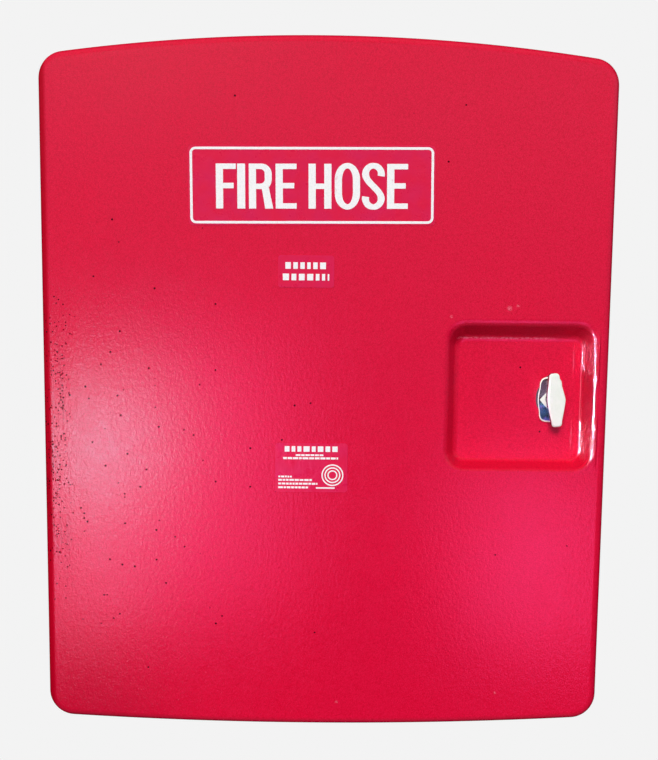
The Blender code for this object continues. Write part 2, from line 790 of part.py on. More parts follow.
def make_clip(steel):
    """A sprung C on the right wall. It opens forwards and grips the nozzle."""
    outer = CLIP_RADIUS + CLIP_SHEET
    path = [(outer, -0.030), (outer - 0.003, -0.022)]
    path += arc((0.0, 0.0), outer, -40, 220, 26)
    path += [(3e-3 - outer, -0.022), (-outer, -0.030)]
    outline = strip_outline(path, CLIP_SHEET)
    mesh = prism("nozzle_clip", outline, -CLIP_WIDTH / 2, CLIP_WIDTH / 2)
    clip = place("nozzle_clip", mesh, steel, None, (CLIP_X, CLIP_Y, CLIP_Z), UPRIGHT)
    drilled = [((HALF_WIDTH, CLIP_Y, CLIP_Z), (1, 0, 0), RIVET_RADIUS + GAP, 0.02)]
    combine(clip, holes(drilled), "DIFFERENCE")
    rivet = rivet_mesh("clip_rivet", BODY_WALL + GAP + CLIP_SHEET)
    place("clip_rivet", rivet, steel, None, (HALF_WIDTH, CLIP_Y, CLIP_Z), RIGHTWARD)


def make_hook(steel):
    """A strap hook on the left wall for the coupling spanner."""
    wall = -(HALF_WIDTH - BODY_WALL - GAP)
    low = HOOK_RIVET_Z[0] - 0.030
    path = [(wall, HOOK_RIVET_Z[1] + 0.022), (wall, low)]
    path += arc((wall + HOOK_BEND, low), HOOK_BEND, 180, 270, 5)[1:]
    path += arc((wall + HOOK_OPENING, low), HOOK_BEND, 270, 360, 5)
    path += [(wall + HOOK_OPENING + HOOK_BEND, low + 0.022)]
    outline = strip_outline(path, HOOK_SHEET)
    half = HOOK_WIDTH / 2
    hook = place("spanner_hook", prism("spanner_hook", outline, -half, half), steel, None)
    hook.location = (0.0, HOOK_Y, 0.0)
    drilled = [
        ((-HALF_WIDTH, HOOK_Y, z), (1, 0, 0), RIVET_RADIUS + GAP, 0.02) for z in HOOK_RIVET_Z
    ]
    combine(hook, holes(drilled), "DIFFERENCE")
    rivet = rivet_mesh("hook_rivet", BODY_WALL + GAP + HOOK_SHEET)
    for label, z in zip(("lower", "upper"), HOOK_RIVET_Z):
        place(f"hook_rivet_{label}", rivet, steel, None, (-HALF_WIDTH, HOOK_Y, z), LEFTWARD)


def make_films(carrier, finish):
    low = DOOR_FACE + GAP
    for name, x, z, width, height, turn in FILMS:
        outline = rounded_rectangle(0.0, 0.0, width / 2, height / 2, 0.004, 3)
        mesh = prism(name, outline, low, low + FILM_THICKNESS)
        rotation = (math.pi / 2, math.radians(-turn), 0.0)
        place(name, mesh, finish, carrier, (x, 0.0, z), rotation)


def main():
    clear_scene()
    red = material("red_gelcoat", (0.72, 0.010, 0.030), 0.35)
    rubber = material("black_rubber", (0.02, 0.02, 0.022), 0.75)
    stainless = material("stainless_steel", (0.62, 0.62, 0.64), 0.32, 1.0)
    zinc = material("zinc_plated_steel", (0.66, 0.67, 0.70), 0.40, 1.0)
    chrome = material("chrome", (0.86, 0.87, 0.88), 0.08, 1.0)
    vinyl = material("clear_vinyl", (0.80, 0.10, 0.14), 0.20)

    make_body(red)
    make_seal(rubber)
    make_leaf("hinge_leaf_body", 1, 1, stainless, None)
    make_pin(stainless)
    make_keeper(stainless)
    make_saddle(zinc)
    make_straps(zinc)
    make_clip(stainless)
    make_hook(stainless)

    door = empty("door_axis", (PIN_X, -PIN_OUT, HINGE_LOW))
    make_door(door, red)
    make_leaf("hinge_leaf_door", -1, 0, stainless, door)
    make_hinge_rivets(door, stainless)
    make_films(door, vinyl)
    seat, boss_top = make_latch_plate(door, chrome, stainless, rubber)

    latch = empty("latch_axis", front(LATCH_X, LATCH_Z, FLOOR), door)
    make_latch_turning(latch, seat, boss_top, chrome, zinc, rubber)


main()
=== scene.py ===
import bpy
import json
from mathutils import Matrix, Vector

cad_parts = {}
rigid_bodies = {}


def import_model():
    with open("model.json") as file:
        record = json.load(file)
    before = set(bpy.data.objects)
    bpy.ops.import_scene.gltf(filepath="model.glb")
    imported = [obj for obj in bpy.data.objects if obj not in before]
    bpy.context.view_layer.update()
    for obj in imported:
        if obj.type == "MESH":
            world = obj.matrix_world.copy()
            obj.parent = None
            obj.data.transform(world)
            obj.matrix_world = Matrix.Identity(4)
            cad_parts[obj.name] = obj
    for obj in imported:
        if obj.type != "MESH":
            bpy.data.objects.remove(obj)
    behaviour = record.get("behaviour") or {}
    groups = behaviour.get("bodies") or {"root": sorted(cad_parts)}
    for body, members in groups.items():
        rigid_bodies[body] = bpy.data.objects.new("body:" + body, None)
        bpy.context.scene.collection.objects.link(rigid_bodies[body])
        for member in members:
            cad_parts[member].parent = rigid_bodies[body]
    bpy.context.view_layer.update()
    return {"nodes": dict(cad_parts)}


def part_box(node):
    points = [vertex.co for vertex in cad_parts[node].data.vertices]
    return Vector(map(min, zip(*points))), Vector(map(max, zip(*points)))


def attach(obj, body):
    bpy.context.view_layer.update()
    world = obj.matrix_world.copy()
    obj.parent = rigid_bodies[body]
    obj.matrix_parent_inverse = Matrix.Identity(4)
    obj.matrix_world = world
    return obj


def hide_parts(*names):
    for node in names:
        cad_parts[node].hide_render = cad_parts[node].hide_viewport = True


for leftover in list(bpy.data.objects):
    bpy.data.objects.remove(leftover)

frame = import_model()

import json
import math

import bmesh
from mathutils import Matrix, Vector

NODES = frame["nodes"]

# ---------------- places from the frame

DOOR_MIN, DOOR_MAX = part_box("door_shell")
HALF_WIDTH = (DOOR_MAX.x - DOOR_MIN.x) / 2
TOP = DOOR_MAX.z
DOOR_LOW = DOOR_MIN.z
FACE = DOOR_MIN.y
RIM = DOOR_MAX.y
BODY_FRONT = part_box("front_frame")[0].y
PAD_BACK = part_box("cabinet_body")[1].y

TOP_CROWN = 0.0274
LOW_CROWN = 0.0115
CORNER_RADIUS = 0.034
DOOR_WALL = 0.004
DOOR_ROUND = 0.012
BODY_WALL = 0.0045
PAD_RAISE = 0.008
BODY_BACK = PAD_BACK - PAD_RAISE
BODY_ROUND = 0.012
FRAME_WIDTH = 0.0308
FRAME_THICKNESS = 0.005
GAP = 0.0003

POCKET_DEPTH = 0.028
# centre x, centre z, half width, half height
POCKET_RIM = (0.246, 0.4393, 0.0945, 0.0935)
POCKET_FLOOR = (0.248, 0.4330, 0.0785, 0.0795)
POCKET_RIM_RADIUS = 0.025
POCKET_FLOOR_RADIUS = 0.012
POCKET_SLOPE = math.radians(66)
POCKET_RIGHT = 0.0058  # the foot of the right wall lies this much further out
RIM_SOFT = 0.009
FOOT_SOFT = 0.010

PLATE_MIN, PLATE_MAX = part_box("latch_escutcheon")
LATCH_X = (PLATE_MIN.x + PLATE_MAX.x) / 2
LATCH_Z = (PLATE_MIN.z + PLATE_MAX.z) / 2
POCKET_BOTTOM = FACE + POCKET_DEPTH
BARREL_HOLE = 0.0098  # radius of the hole in the pocket's floor


# ---------------- outlines


def arc(centre, radius, start, end, steps):
    angles = (math.radians(start + (end - start) * i / steps) for i in range(steps + 1))
    return [(centre[0] + radius * math.cos(a), centre[1] + radius * math.sin(a)) for a in angles]


def ellipse_arc(centre, radius_x, radius_y, start, end, steps):
    points = arc((0, 0), 1.0, start, end, steps)
    return [(centre[0] + radius_x * x, centre[1] + radius_y * y) for x, y in points]


def circle(radius, sides, centre=(0.0, 0.0)):
    return arc(centre, radius, 0, 360 - 360 / sides, sides - 1)


def rounded_rectangle(cx, cz, half_width, half_height, radius, steps=10):
    points = []
    for sign_x, sign_z, start in ((1, 1, 0), (-1, 1, 90), (-1, -1, 180), (1, -1, 270)):
        centre = (cx + sign_x * (half_width - radius), cz + sign_z * (half_height - radius))
        points += arc(centre, radius, start, start + 90, steps)
    return points


def shell_outline(inset, low, low_crown, corner_steps=14, arch_steps=44):
    """The front outline of the door or body: straight sides, arched top, round corners."""
    radius = max(CORNER_RADIUS - inset, 0.006)
    reach = HALF_WIDTH - inset - radius
    corners = []
    for crown, edge, way in ((TOP_CROWN, TOP - inset, -1), (low_crown, low + inset, 1)):
        slope = math.atan(2 * crown * reach / HALF_WIDTH**2)
        x = reach + radius * math.sin(slope)
        z = edge + way * crown * (x / HALF_WIDTH) ** 2
        corners.append((x, z + way * radius * math.cos(slope), math.degrees(slope)))
    (top_x, top_z, top_slope), (low_x, low_z, low_slope) = corners
    points = arc((reach, top_z), radius, 0, 90 - top_slope, corner_steps)
    for i in range(1, arch_steps):
        x = top_x * (1 - 2 * i / arch_steps)
        points.append((x, TOP - inset - TOP_CROWN * (x / HALF_WIDTH) ** 2))
    points += arc((-reach, top_z), radius, 90 + top_slope, 180, corner_steps)
    points += arc((-reach, low_z), radius, 180, 270 - low_slope, corner_steps)
    for i in range(1, arch_steps):
        x = -low_x * (1 - 2 * i / arch_steps)
        points.append((x, low + inset + low_crown * (x / HALF_WIDTH) ** 2))
    points += arc((reach, low_z), radius, 270 + low_slope, 360, corner_steps)
    return points


def door_ring(inset, y):
    return [(x, y, z) for x, z in shell_outline(inset, DOOR_LOW, LOW_CROWN)]


def body_ring(inset, y, low=0.0):
    return [(x, y, z) for x, z in shell_outline(inset, low, 0.0)]


def mix(a, b, share):
    return a + (b - a) * share


# ---------------- mesh building


class Skin:
    """A mesh built from rings of points, bridged to each other or filled flat."""

    def __init__(self):
        self.maker = bmesh.new()

    def ring(self, points):
        return [self.maker.verts.new(p) for p in points]

    def bridge(self, first, second, slot=0):
        count = len(first)
        for i in range(count):
            j = (i + 1) % count
            self.face((first[i], first[j], second[j], second[i]), slot)

    def face(self, corners, slot=0):
        self.maker.faces.new(corners).material_index = slot

    def chain(self, rings, slot=0):
        made = [self.ring(points) for points in rings]
        for a, b in zip(made, made[1:]):
            self.bridge(a, b, slot)
        return made[0], made[-1]

    def fill(self, *loops, slot=0):
        edges = []
        for loop in loops:
            for i, vert in enumerate(loop):
                other = loop[(i + 1) % len(loop)]
                edge = self.maker.edges.get((vert, other))
                edges.append(edge or self.maker.edges.new((vert, other)))
        made = bmesh.ops.triangle_fill(self.maker, edges=edges, use_beauty=True)
        for item in made["geom"]:
            if isinstance(item, bmesh.types.BMFace):
                item.material_index = slot

    def mesh(self, name, materials, smooth=35):
        bmesh.ops.recalc_face_normals(self.maker, faces=self.maker.faces)
        mesh = bpy.data.meshes.new(name)
        self.maker.to_mesh(mesh)
        self.maker.free()
        for item in materials:
            mesh.materials.append(item)
        mesh.shade_smooth()
        mesh.set_sharp_from_angle(angle=math.radians(smooth))
        return mesh


def piece(name, mesh, body, node=None):
    obj = bpy.data.objects.new(name, mesh)
    bpy.context.scene.collection.objects.link(obj)
    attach(obj, body)
    if node:
        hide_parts(*([node] if isinstance(node, str) else node))
    return obj


def weighted(obj):
    modifier = obj.modifiers.new("weighted normals", "WEIGHTED_NORMAL")
    modifier.mode = "FACE_AREA"
    modifier.weight = 100
    modifier.keep_sharp = True


def drill(obj, holes, sides=40):
    """Cuts round holes: (centre, direction, radius, length)."""
    maker = bmesh.new()
    for centre, direction, radius, length in holes:
        turn = Vector(direction).to_track_quat("Z", "Y").to_matrix().to_4x4()
        bmesh.ops.create_cone(
            maker, cap_ends=True, segments=sides, radius1=radius, radius2=radius,
            depth=length, matrix=Matrix.Translation(centre) @ turn,
        )
    mesh = bpy.data.meshes.new("drill")
    maker.to_mesh(mesh)
    maker.free()
    cut_with(obj, mesh, "DIFFERENCE")


def cut_with(obj, mesh, operation, smooth=30):
    tool = bpy.data.objects.new("tool", mesh)
    bpy.context.scene.collection.objects.link(tool)
    modifier = obj.modifiers.new("cut", "BOOLEAN")
    modifier.operation = operation
    modifier.solver = "EXACT"
    modifier.object = tool
    graph = bpy.context.evaluated_depsgraph_get()
    result = bpy.data.meshes.new_from_object(obj.evaluated_get(graph))
    obj.modifiers.remove(modifier)
    result.set_sharp_from_angle(angle=math.radians(smooth))
    obj.data = result
    bpy.data.objects.remove(tool)


# ---------------- materials


class Paint:
    """A node material. Inputs given as sockets are linked, and others are set as constants."""

    def __init__(self, name):
        self.material = bpy.data.materials.new(name)
        self.material.use_nodes = True
        self.tree = self.material.node_tree
        self.shader = self.tree.nodes["Principled BSDF"]
        self.place = self.add("ShaderNodeTexCoord").outputs["Object"]

    def add(self, kind, inputs=None, **settings):
        node = self.tree.nodes.new(kind)
        for key, value in settings.items():
            setattr(node, key, value)
        for key, value in (inputs or {}).items():
            self.put(node.inputs[key], value)
        return node

    def put(self, socket, value):
        if isinstance(value, bpy.types.NodeSocket):
            self.tree.links.new(value, socket)
        else:
            socket.default_value = value

    def set(self, **values):
        for key, value in values.items():
            self.put(self.shader.inputs[key.replace("_", " ")], value)

    def noise(self, scale, detail=2.0, rough=0.5, stretch=None, distort=0.0):
        place = self.place
        if stretch:
            place = self.add(
                "ShaderNodeMapping", {"Vector": self.place, "Scale": stretch}
            ).outputs[0]
        node = self.add(
            "ShaderNodeTexNoise",
            {"Vector": place, "Scale": scale, "Detail": detail, "Roughness": rough,
             "Distortion": distort},
        )
        return node.outputs["Fac"]

    def cells(self, scale):
        return self.add("ShaderNodeTexVoronoi", {"Vector": self.place, "Scale": scale})

    def maths(self, operation, a, b=0.0):
        node = self.add("ShaderNodeMath", operation=operation)
        self.put(node.inputs[0], a)
        self.put(node.inputs[1], b)
        return node.outputs[0]

    def product(self, value, *others):
        for other in others:
            value = self.maths("MULTIPLY", value, other)
        return value

    def spread(self, value, low, high, out_low=0.0, out_high=1.0, smooth=False):
        node = self.add(
            "ShaderNodeMapRange",
            {"Value": value, "From Min": low, "From Max": high, "To Min": out_low,
             "To Max": out_high},
            interpolation_type="SMOOTHSTEP" if smooth else "LINEAR",
        )
        return node.outputs[0]

    def blend(self, share, first, second):
        node = self.add("ShaderNodeMix", data_type="RGBA")
        # a colour mix has its colours in sockets 6 and 7 and gives its result in output 2
        self.put(node.inputs[0], share)
        self.put(node.inputs[6], first)
        self.put(node.inputs[7], second)
        return node.outputs[2]

    def near(self, centre, radius, soft):
        """1 inside a ball about a point in the frame, fading to 0 over soft."""
        gap = self.add(
            "ShaderNodeVectorMath", {0: self.place, 1: centre}, operation="DISTANCE"
        ).outputs["Value"]
        return self.spread(gap, radius, radius + soft, 1.0, 0.0, smooth=True)

    def near_band(self, value, middle, half, soft):
        """1 within half of a middle value, falling to 0 over soft."""
        away = self.maths("ABSOLUTE", self.maths("SUBTRACT", value, middle))
        return self.spread(away, half, half + soft, 1.0, 0.0, smooth=True)

    def scaled(self, value, factor, offset):
        """value * factor + offset"""
        node = self.maths("MULTIPLY_ADD", value, factor).node
        node.inputs[2].default_value = offset
        return node.outputs[0]

    def pores(self, scale, share, core, rim):
        """Round spots in a share of the cells, from 1 inside core to 0 at rim."""
        cells = self.cells(scale)
        chance = self.add(
            "ShaderNodeSeparateColor", {"Color": cells.outputs["Color"]}
        ).outputs[0]
        spot = self.spread(cells.outputs["Distance"], core, rim, 1.0, 0.0)
        return self.product(self.maths("LESS_THAN", chance, share), spot)

    def bump(self, height, strength, distance, normal=None):
        inputs = {"Height": height, "Strength": strength, "Distance": distance}
        if normal is not None:
            inputs["Normal"] = normal
        return self.add("ShaderNodeBump", inputs).outputs[0]


def colour(red, green, blue):
    """A colour from its screen values, 0 to 255."""
    def linear(value):
        value /= 255
        return value / 12.92 if value <= 0.04045 else ((value + 0.055) / 1.055) ** 2.4
    return (linear(red), linear(green), linear(blue), 1.0)


# small pale scuffs and nicks on the door, the last one a painted glint at the pocket's lower left
# corner: x, z, radius, in metres
SCUFFS_AND_GLINT = [
    (0.2290, 0.5510, 0.0050), (0.2395, 0.5540, 0.0036), (0.1560, 0.5400, 0.0030),
    (0.2245, 0.0500, 0.0028), (0.0170, 0.0360, 0.0030), (0.1700, 0.3620, 0.0034),
]


def gelcoat():
    paint = Paint("red_gelcoat_outside")
    patches = paint.spread(paint.noise(7.0, 3.0), 0.3, 0.7)
    base = paint.blend(patches, colour(221, 6, 46), colour(215, 9, 50))
    mottle = paint.spread(paint.noise(330.0, 2.0, 0.6), 0.35, 0.75)
    base = paint.blend(mottle, base, colour(200, 3, 37))
    grain = paint.spread(paint.noise(900.0, 1.0, 0.5), 0.4, 0.7)
    base = paint.blend(grain, base, colour(230, 18, 62))
    # painted shade: darker along the hinge side's rounded edge and towards the lower left corner
    across = paint.add("ShaderNodeSeparateXYZ", {"Vector": paint.place}).outputs
    edge = paint.spread(across["X"], -0.3520, -0.3460, 1.0, 0.0, smooth=True)
    base = paint.blend(paint.product(edge, 0.7), base, colour(160, 0, 14))
    corner_shade = paint.near((-0.34, FACE, -0.01), 0.05, 0.16)
    base = paint.blend(paint.product(corner_shade, 0.35), base, colour(150, 0, 26))
    # scuffs, and one painted highlight
    for x, z, radius in SCUFFS_AND_GLINT:
        spot = paint.near((x, FACE, z), 0.0, radius)
        streak = paint.spread(paint.noise(700.0, 2.0, 0.6), 0.46, 0.56)
        base = paint.blend(paint.product(spot, streak, 0.8), base, colour(238, 110, 128))
    # painted highlight: a thin broken glint line at the foot of the pocket's upper wall
    wall_foot = POCKET_FLOOR[1] + POCKET_FLOOR[3] + 0.0008
    line = paint.near_band(across["Z"], wall_foot, 0.0006, 0.0012)
    ends = paint.near_band(across["X"], 0.228, 0.050, 0.030)
    sunken = paint.near_band(across["Y"], FACE + 0.026, 0.005, 0.003)
    broken_glint = paint.spread(paint.noise(420.0, 3.0, 0.7, stretch=(0.6, 1.0, 1.0)), 0.42, 0.60)
    share = paint.product(line, ends, sunken, broken_glint, 0.75)
    base = paint.blend(share, base, colour(240, 110, 130))
    # small open pores in the gelcoat, most of them where the door is most worn
    wide = paint.near((-0.29, FACE, 0.34), 0.05, 0.24)
    side = paint.spread(across["X"], -0.333, -0.318, 1.0, 0.0, smooth=True)
    middle = paint.near((-0.335, FACE, 0.37), 0.08, 0.14)
    worn = paint.spread(paint.noise(55.0, 3.0, stretch=(1.0, 1.0, 0.35)), 0.40, 0.60, 0.25, 1.0)
    strip = paint.product(side, middle, worn)
    large = paint.pores(250.0, paint.scaled(wide, 0.034, 0.0006), 0.27, 0.33)
    small = paint.pores(360.0, paint.scaled(strip, 0.60, 0.0), 0.26, 0.36)
    pore = paint.maths("MAXIMUM", large, small)
    streaks = paint.spread(paint.noise(240.0, 3.0, 0.6, stretch=(1.0, 1.0, 0.06)), 0.48, 0.62)
    base = paint.blend(paint.product(streaks, strip, 0.55), base, colour(150, 0, 20))
    base = paint.blend(pore, base, colour(12, 0, 2))
    paint.set(Base_Color=base)
    # thick, glossy runs of gelcoat on the pocket's right wall
    past_foot = paint.spread(across["X"], 0.3195, 0.3225, smooth=True)
    before_rim = paint.spread(across["X"], 0.3440, 0.3465, 1.0, 0.0, smooth=True)
    high = paint.near((0.333, FACE, 0.486), 0.022, 0.020)
    low = paint.near((0.333, FACE, 0.384), 0.022, 0.022)
    runs = paint.product(past_foot, before_rim, paint.maths("MAXIMUM", high, low))
    satin = paint.spread(paint.noise(60.0, 3.0, 0.6), 0.3, 0.7, 0.21, 0.27)
    glossy = paint.product(runs, 0.06)
    paint.set(Roughness=paint.maths("SUBTRACT", satin, glossy))
    paint.set(IOR=1.5)
    # the pores, and the painted shade along the hinge side, lose their reflection
    dull = paint.maths("MAXIMUM", pore, paint.product(edge, 0.8))
    paint.set(Specular_IOR_Level=paint.spread(dull, 0.0, 1.0, 0.5, 0.0))
    waves = paint.bump(paint.noise(5.0, 1.0), 0.10, 0.004)
    rough = paint.product(runs, paint.noise(230.0, 3.0, 0.6, stretch=(1.0, 1.0, 0.5)))
    waves = paint.bump(rough, 0.9, 0.0030, waves)
    peel = paint.bump(
        paint.noise(250.0, 2.5, 0.6, stretch=(1.0, 1.0, 0.6)), 0.35, 0.0008, waves
    )
    fine = paint.bump(paint.noise(560.0, 2.0, 0.5), 0.35, 0.0005, peel)
    holes = paint.bump(paint.maths("SUBTRACT", 1.0, pore), 0.6, 0.0006, fine)
    paint.set(Normal=holes)
    return paint.material


def laminate():
    """The unpolished inner side of the moulding, with chopped glass strands under resin."""
    paint = Paint("red_laminate_inside")
    strands = paint.noise(90.0, 4.0, 0.7, stretch=(1.0, 1.0, 0.18), distort=1.6)
    across = paint.noise(90.0, 4.0, 0.7, stretch=(0.2, 1.0, 1.0), distort=1.6)
    web = paint.maths("MAXIMUM", strands, across)
    base = paint.blend(
        paint.spread(web, 0.5, 0.72), colour(150, 16, 34), colour(188, 48, 58)
    )
    base = paint.blend(
        paint.spread(paint.noise(5.0, 3.0), 0.35, 0.75, 0.0, 0.5), base, colour(120, 12, 26)
    )
    paint.set(Base_Color=base)
    paint.set(Roughness=paint.spread(web, 0.4, 0.7, 0.42, 0.62))
    rough = paint.bump(web, 0.5, 0.0012)
    paint.set(Normal=paint.bump(paint.noise(18.0, 2.0), 0.3, 0.004, rough))
    return paint.material


def rubber():
    paint = Paint("black_rubber_seal")
    grain = paint.noise(500.0, 3.0, 0.6)
    base = paint.blend(paint.spread(grain, 0.3, 0.7), colour(24, 24, 26), colour(44, 43, 44))
    base = paint.blend(
        paint.spread(paint.noise(30.0, 2.0), 0.5, 0.8, 0.0, 0.35), base, colour(82, 78, 76)
    )
    paint.set(Base_Color=base)
    paint.set(Roughness=paint.spread(grain, 0.3, 0.7, 0.62, 0.82))
    paint.set(Normal=paint.bump(grain, 0.3, 0.0004))
    return paint.material


def brushed_metal(name, light, dark, along):
    """Metal with a fine grain. along is the stretch of the grain on each axis."""
    paint = Paint(name)
    grain = paint.noise(900.0, 3.0, 0.65, stretch=along)
    patch = paint.noise(26.0, 3.0, 0.6)
    base = paint.blend(paint.spread(grain, 0.3, 0.7), dark, light)
    base = paint.blend(
        paint.spread(patch, 0.52, 0.8, 0.0, 0.25), base, colour(120, 116, 112)
    )
    paint.set(Base_Color=base, Metallic=1.0)
    paint.set(Roughness=paint.spread(grain, 0.25, 0.75, 0.26, 0.42))
    paint.set(Normal=paint.bump(grain, 0.25, 0.0002))
    return paint.material


def zinc():
    """Zinc plate, with its faint crystalline patches and dull spots."""
    paint = Paint("zinc_plate")
    crystals = paint.cells(120.0)
    tint = paint.add(
        "ShaderNodeSeparateColor", {"Color": crystals.outputs["Color"]}
    ).outputs[0]
    base = paint.blend(tint, colour(176, 180, 186), colour(206, 208, 210))
    dull = paint.spread(paint.noise(18.0, 4.0, 0.65), 0.5, 0.75, 0.0, 0.6)
    base = paint.blend(dull, base, colour(150, 150, 148))
    paint.set(Base_Color=base, Metallic=1.0)
    paint.set(Roughness=paint.spread(tint, 0.0, 1.0, 0.30, 0.46))
    paint.set(Normal=paint.bump(paint.noise(400.0, 2.0), 0.15, 0.0003))
    return paint.material


def chrome():
    paint = Paint("chrome_plate")
    smudge = paint.noise(150.0, 4.0, 0.6)
    base = paint.blend(
        paint.spread(smudge, 0.35, 0.75), colour(240, 243, 241), colour(222, 229, 224)
    )
    paint.set(Base_Color=base, Metallic=1.0)
    paint.set(Roughness=paint.spread(smudge, 0.3, 0.7, 0.10, 0.22))
    paint.set(Normal=paint.bump(paint.noise(260.0, 2.0), 0.08, 0.0005))
    return paint.material


def painted_light_plate(name, light, dark):
    """Plate metal with light or shade painted into its colour: on the cover plate's bevels a
    painted reflection of a darker and of a bluer part of the room, on the handle's sides painted
    shade.
    """
    paint = Paint(name)
    smudge = paint.noise(190.0, 4.0, 0.6, stretch=(1.0, 1.0, 0.5))
    base = paint.blend(paint.spread(smudge, 0.35, 0.65), light, dark)
    paint.set(Base_Color=base, Metallic=0.85)
    paint.set(Roughness=paint.spread(smudge, 0.3, 0.7, 0.16, 0.30))
    paint.set(Normal=paint.bump(paint.noise(260.0, 2.0), 0.10, 0.0005))
    return paint.material


def satin_chrome():
    """The handle's face: worn plate, almost white."""
    paint = Paint("satin_chrome_handle")
    smudge = paint.noise(120.0, 4.0, 0.6)
    base = paint.blend(
        paint.spread(smudge, 0.35, 0.75), colour(247, 255, 238), colour(236, 249, 228)
    )
    paint.set(Base_Color=base, Metallic=0.05)
    paint.set(Roughness=paint.spread(smudge, 0.3, 0.7, 0.30, 0.42))
    paint.set(Normal=paint.bump(paint.noise(300.0, 2.0), 0.10, 0.0004))
    return paint.material


def print_white():
    paint = Paint("white_print")
    grain = paint.noise(600.0, 2.0, 0.6)
    base = paint.blend(
        paint.spread(grain, 0.4, 0.7), colour(252, 255, 246), colour(238, 246, 236)
    )
    scuff = paint.noise(160.0, 4.0, 0.7, stretch=(1.0, 1.0, 0.25))
    base = paint.blend(
        paint.spread(scuff, 0.66, 0.72, 0.0, 0.6), base, colour(226, 120, 138)
    )
    paint.set(Base_Color=base)
    paint.set(Roughness=paint.spread(grain, 0.3, 0.7, 0.32, 0.45))
    paint.set(Normal=paint.bump(grain, 0.12, 0.0003))
    return paint.material


def film():
    """Clear vinyl over the red gelcoat: a little lighter, with painted sheen in purplish patches,
    and with bubbles and creases.
    """
    paint = Paint("clear_film")
    # painted sheen: lighter, purplish patches
    patches = paint.spread(paint.noise(40.0, 3.0), 0.35, 0.7)
    base = paint.blend(patches, colour(222, 16, 60), colour(216, 22, 74))
    paint.set(Base_Color=base)
    paint.set(Roughness=paint.spread(paint.noise(90.0, 3.0), 0.3, 0.7, 0.24, 0.38))
    paint.set(IOR=1.5)
    creases = paint.bump(paint.noise(60.0, 3.0, 0.5, distort=0.8), 0.35, 0.0015)
    paint.set(Normal=paint.bump(paint.noise(260.0, 2.0), 0.25, 0.0007, creases))
    return paint.material


RED = gelcoat()
INSIDE = laminate()
RUBBER = rubber()
STAINLESS = brushed_metal(
    "brushed_stainless", colour(198, 198, 200), colour(164, 164, 168), (1.0, 1.0, 0.04)
)
ZINC = zinc()
CHROME = chrome()
UPPER_PAINTED_REFLECTION = painted_light_plate("chrome_upper_painted_reflection", colour(128, 126, 128), colour(92, 88, 92))
LOWER_PAINTED_REFLECTION = painted_light_plate("chrome_lower_painted_reflection", colour(88, 156, 166), colour(44, 104, 126))
SIDE_PAINTED_SHADE = painted_light_plate("chrome_side_painted_shade", colour(120, 104, 110), colour(70, 52, 60))
SATIN = satin_chrome()
WHITE = print_white()
FILM = film()

# ---------------- camera


def make_camera():
    """The photograph's viewpoint: above the door's middle, looking slightly down."""
    yaw, pitch, roll = 0.00877, 0.08067, -0.01096  # in radians
    eye = (-0.00537, FACE - 0.95696, DOOR_LOW + 0.53294)
    forward = Vector(
        (math.sin(yaw) * math.cos(pitch), math.cos(yaw) * math.cos(pitch), -math.sin(pitch))
    )
    right = Vector((math.cos(yaw), -math.sin(yaw), 0.0))
    down = forward.cross(right)
    across = math.cos(roll) * right + math.sin(roll) * down
    below = -math.sin(roll) * right + math.cos(roll) * down
    data = bpy.data.cameras.new("camera")
    data.lens = 36.0
    data.sensor_width = 36.0
    camera = bpy.data.objects.new("camera", data)
    rotation = Matrix((across, -below, -forward)).transposed()
    camera.matrix_world = Matrix.Translation(eye) @ rotation.to_4x4()
    bpy.context.scene.collection.objects.link(camera)
    bpy.context.scene.camera = camera


make_camera()

# ---------------- door


def pocket_ring(share, depth, grow=0.0):
    """An outline of the latch pocket between its rim (share 0) and its floor (share 1)."""
    sizes = [mix(a, b, share) for a, b in zip(POCKET_RIM, POCKET_FLOOR)]
    radius = mix(POCKET_RIM_RADIUS, POCKET_FLOOR_RADIUS, share) + grow
    points = rounded_rectangle(sizes[0], sizes[1], sizes[2] + grow, sizes[3] + grow, radius)
    steeper = POCKET_RIGHT * max(share, 0.0) / sizes[2]
    return [(x + steeper * max(x - sizes[0], 0.0), FACE + depth, z) for x, z in points]


def pocket_profile():
    """(share, depth) down the pocket's wall: a soft rim, a straight slope, and a soft foot."""
    steep = POCKET_SLOPE
    wall = (POCKET_DEPTH - (RIM_SOFT + FOOT_SOFT) * (1 - math.cos(steep))) / math.sin(steep)
    run = (RIM_SOFT + FOOT_SOFT) * math.sin(steep) + wall * math.cos(steep)
    points = []
    steps = 12
    for i in range(steps + 1):
        turn = steep * i / steps
        points.append((RIM_SOFT * math.sin(turn), RIM_SOFT * (1 - math.cos(turn))))
    for i in range(steps + 1):
        turn = steep * (1 - i / steps)
        points.append(
            (run - FOOT_SOFT * math.sin(turn), POCKET_DEPTH - FOOT_SOFT * (1 - math.cos(turn)))
        )
    nominal = POCKET_RIM[2] - POCKET_FLOOR[2]
    start = -(run - nominal) / 2
    return [((start + across) / nominal, depth) for across, depth in points]


def pocket_rings(grow):
    return [pocket_ring(share, depth + grow, grow) for share, depth in pocket_profile()]


def round_edge(ring_at, inset, radius, face, way, steps):
    """Rings of a quarter round that turns from a wall into a face."""
    rings = []
    for i in range(steps + 1):
        angle = math.radians(90 * i / steps)
        inwards = radius * (1 - math.cos(angle))
        rings.append(ring_at(inset + inwards, face + way * radius * (1 - math.sin(angle))))
    return rings


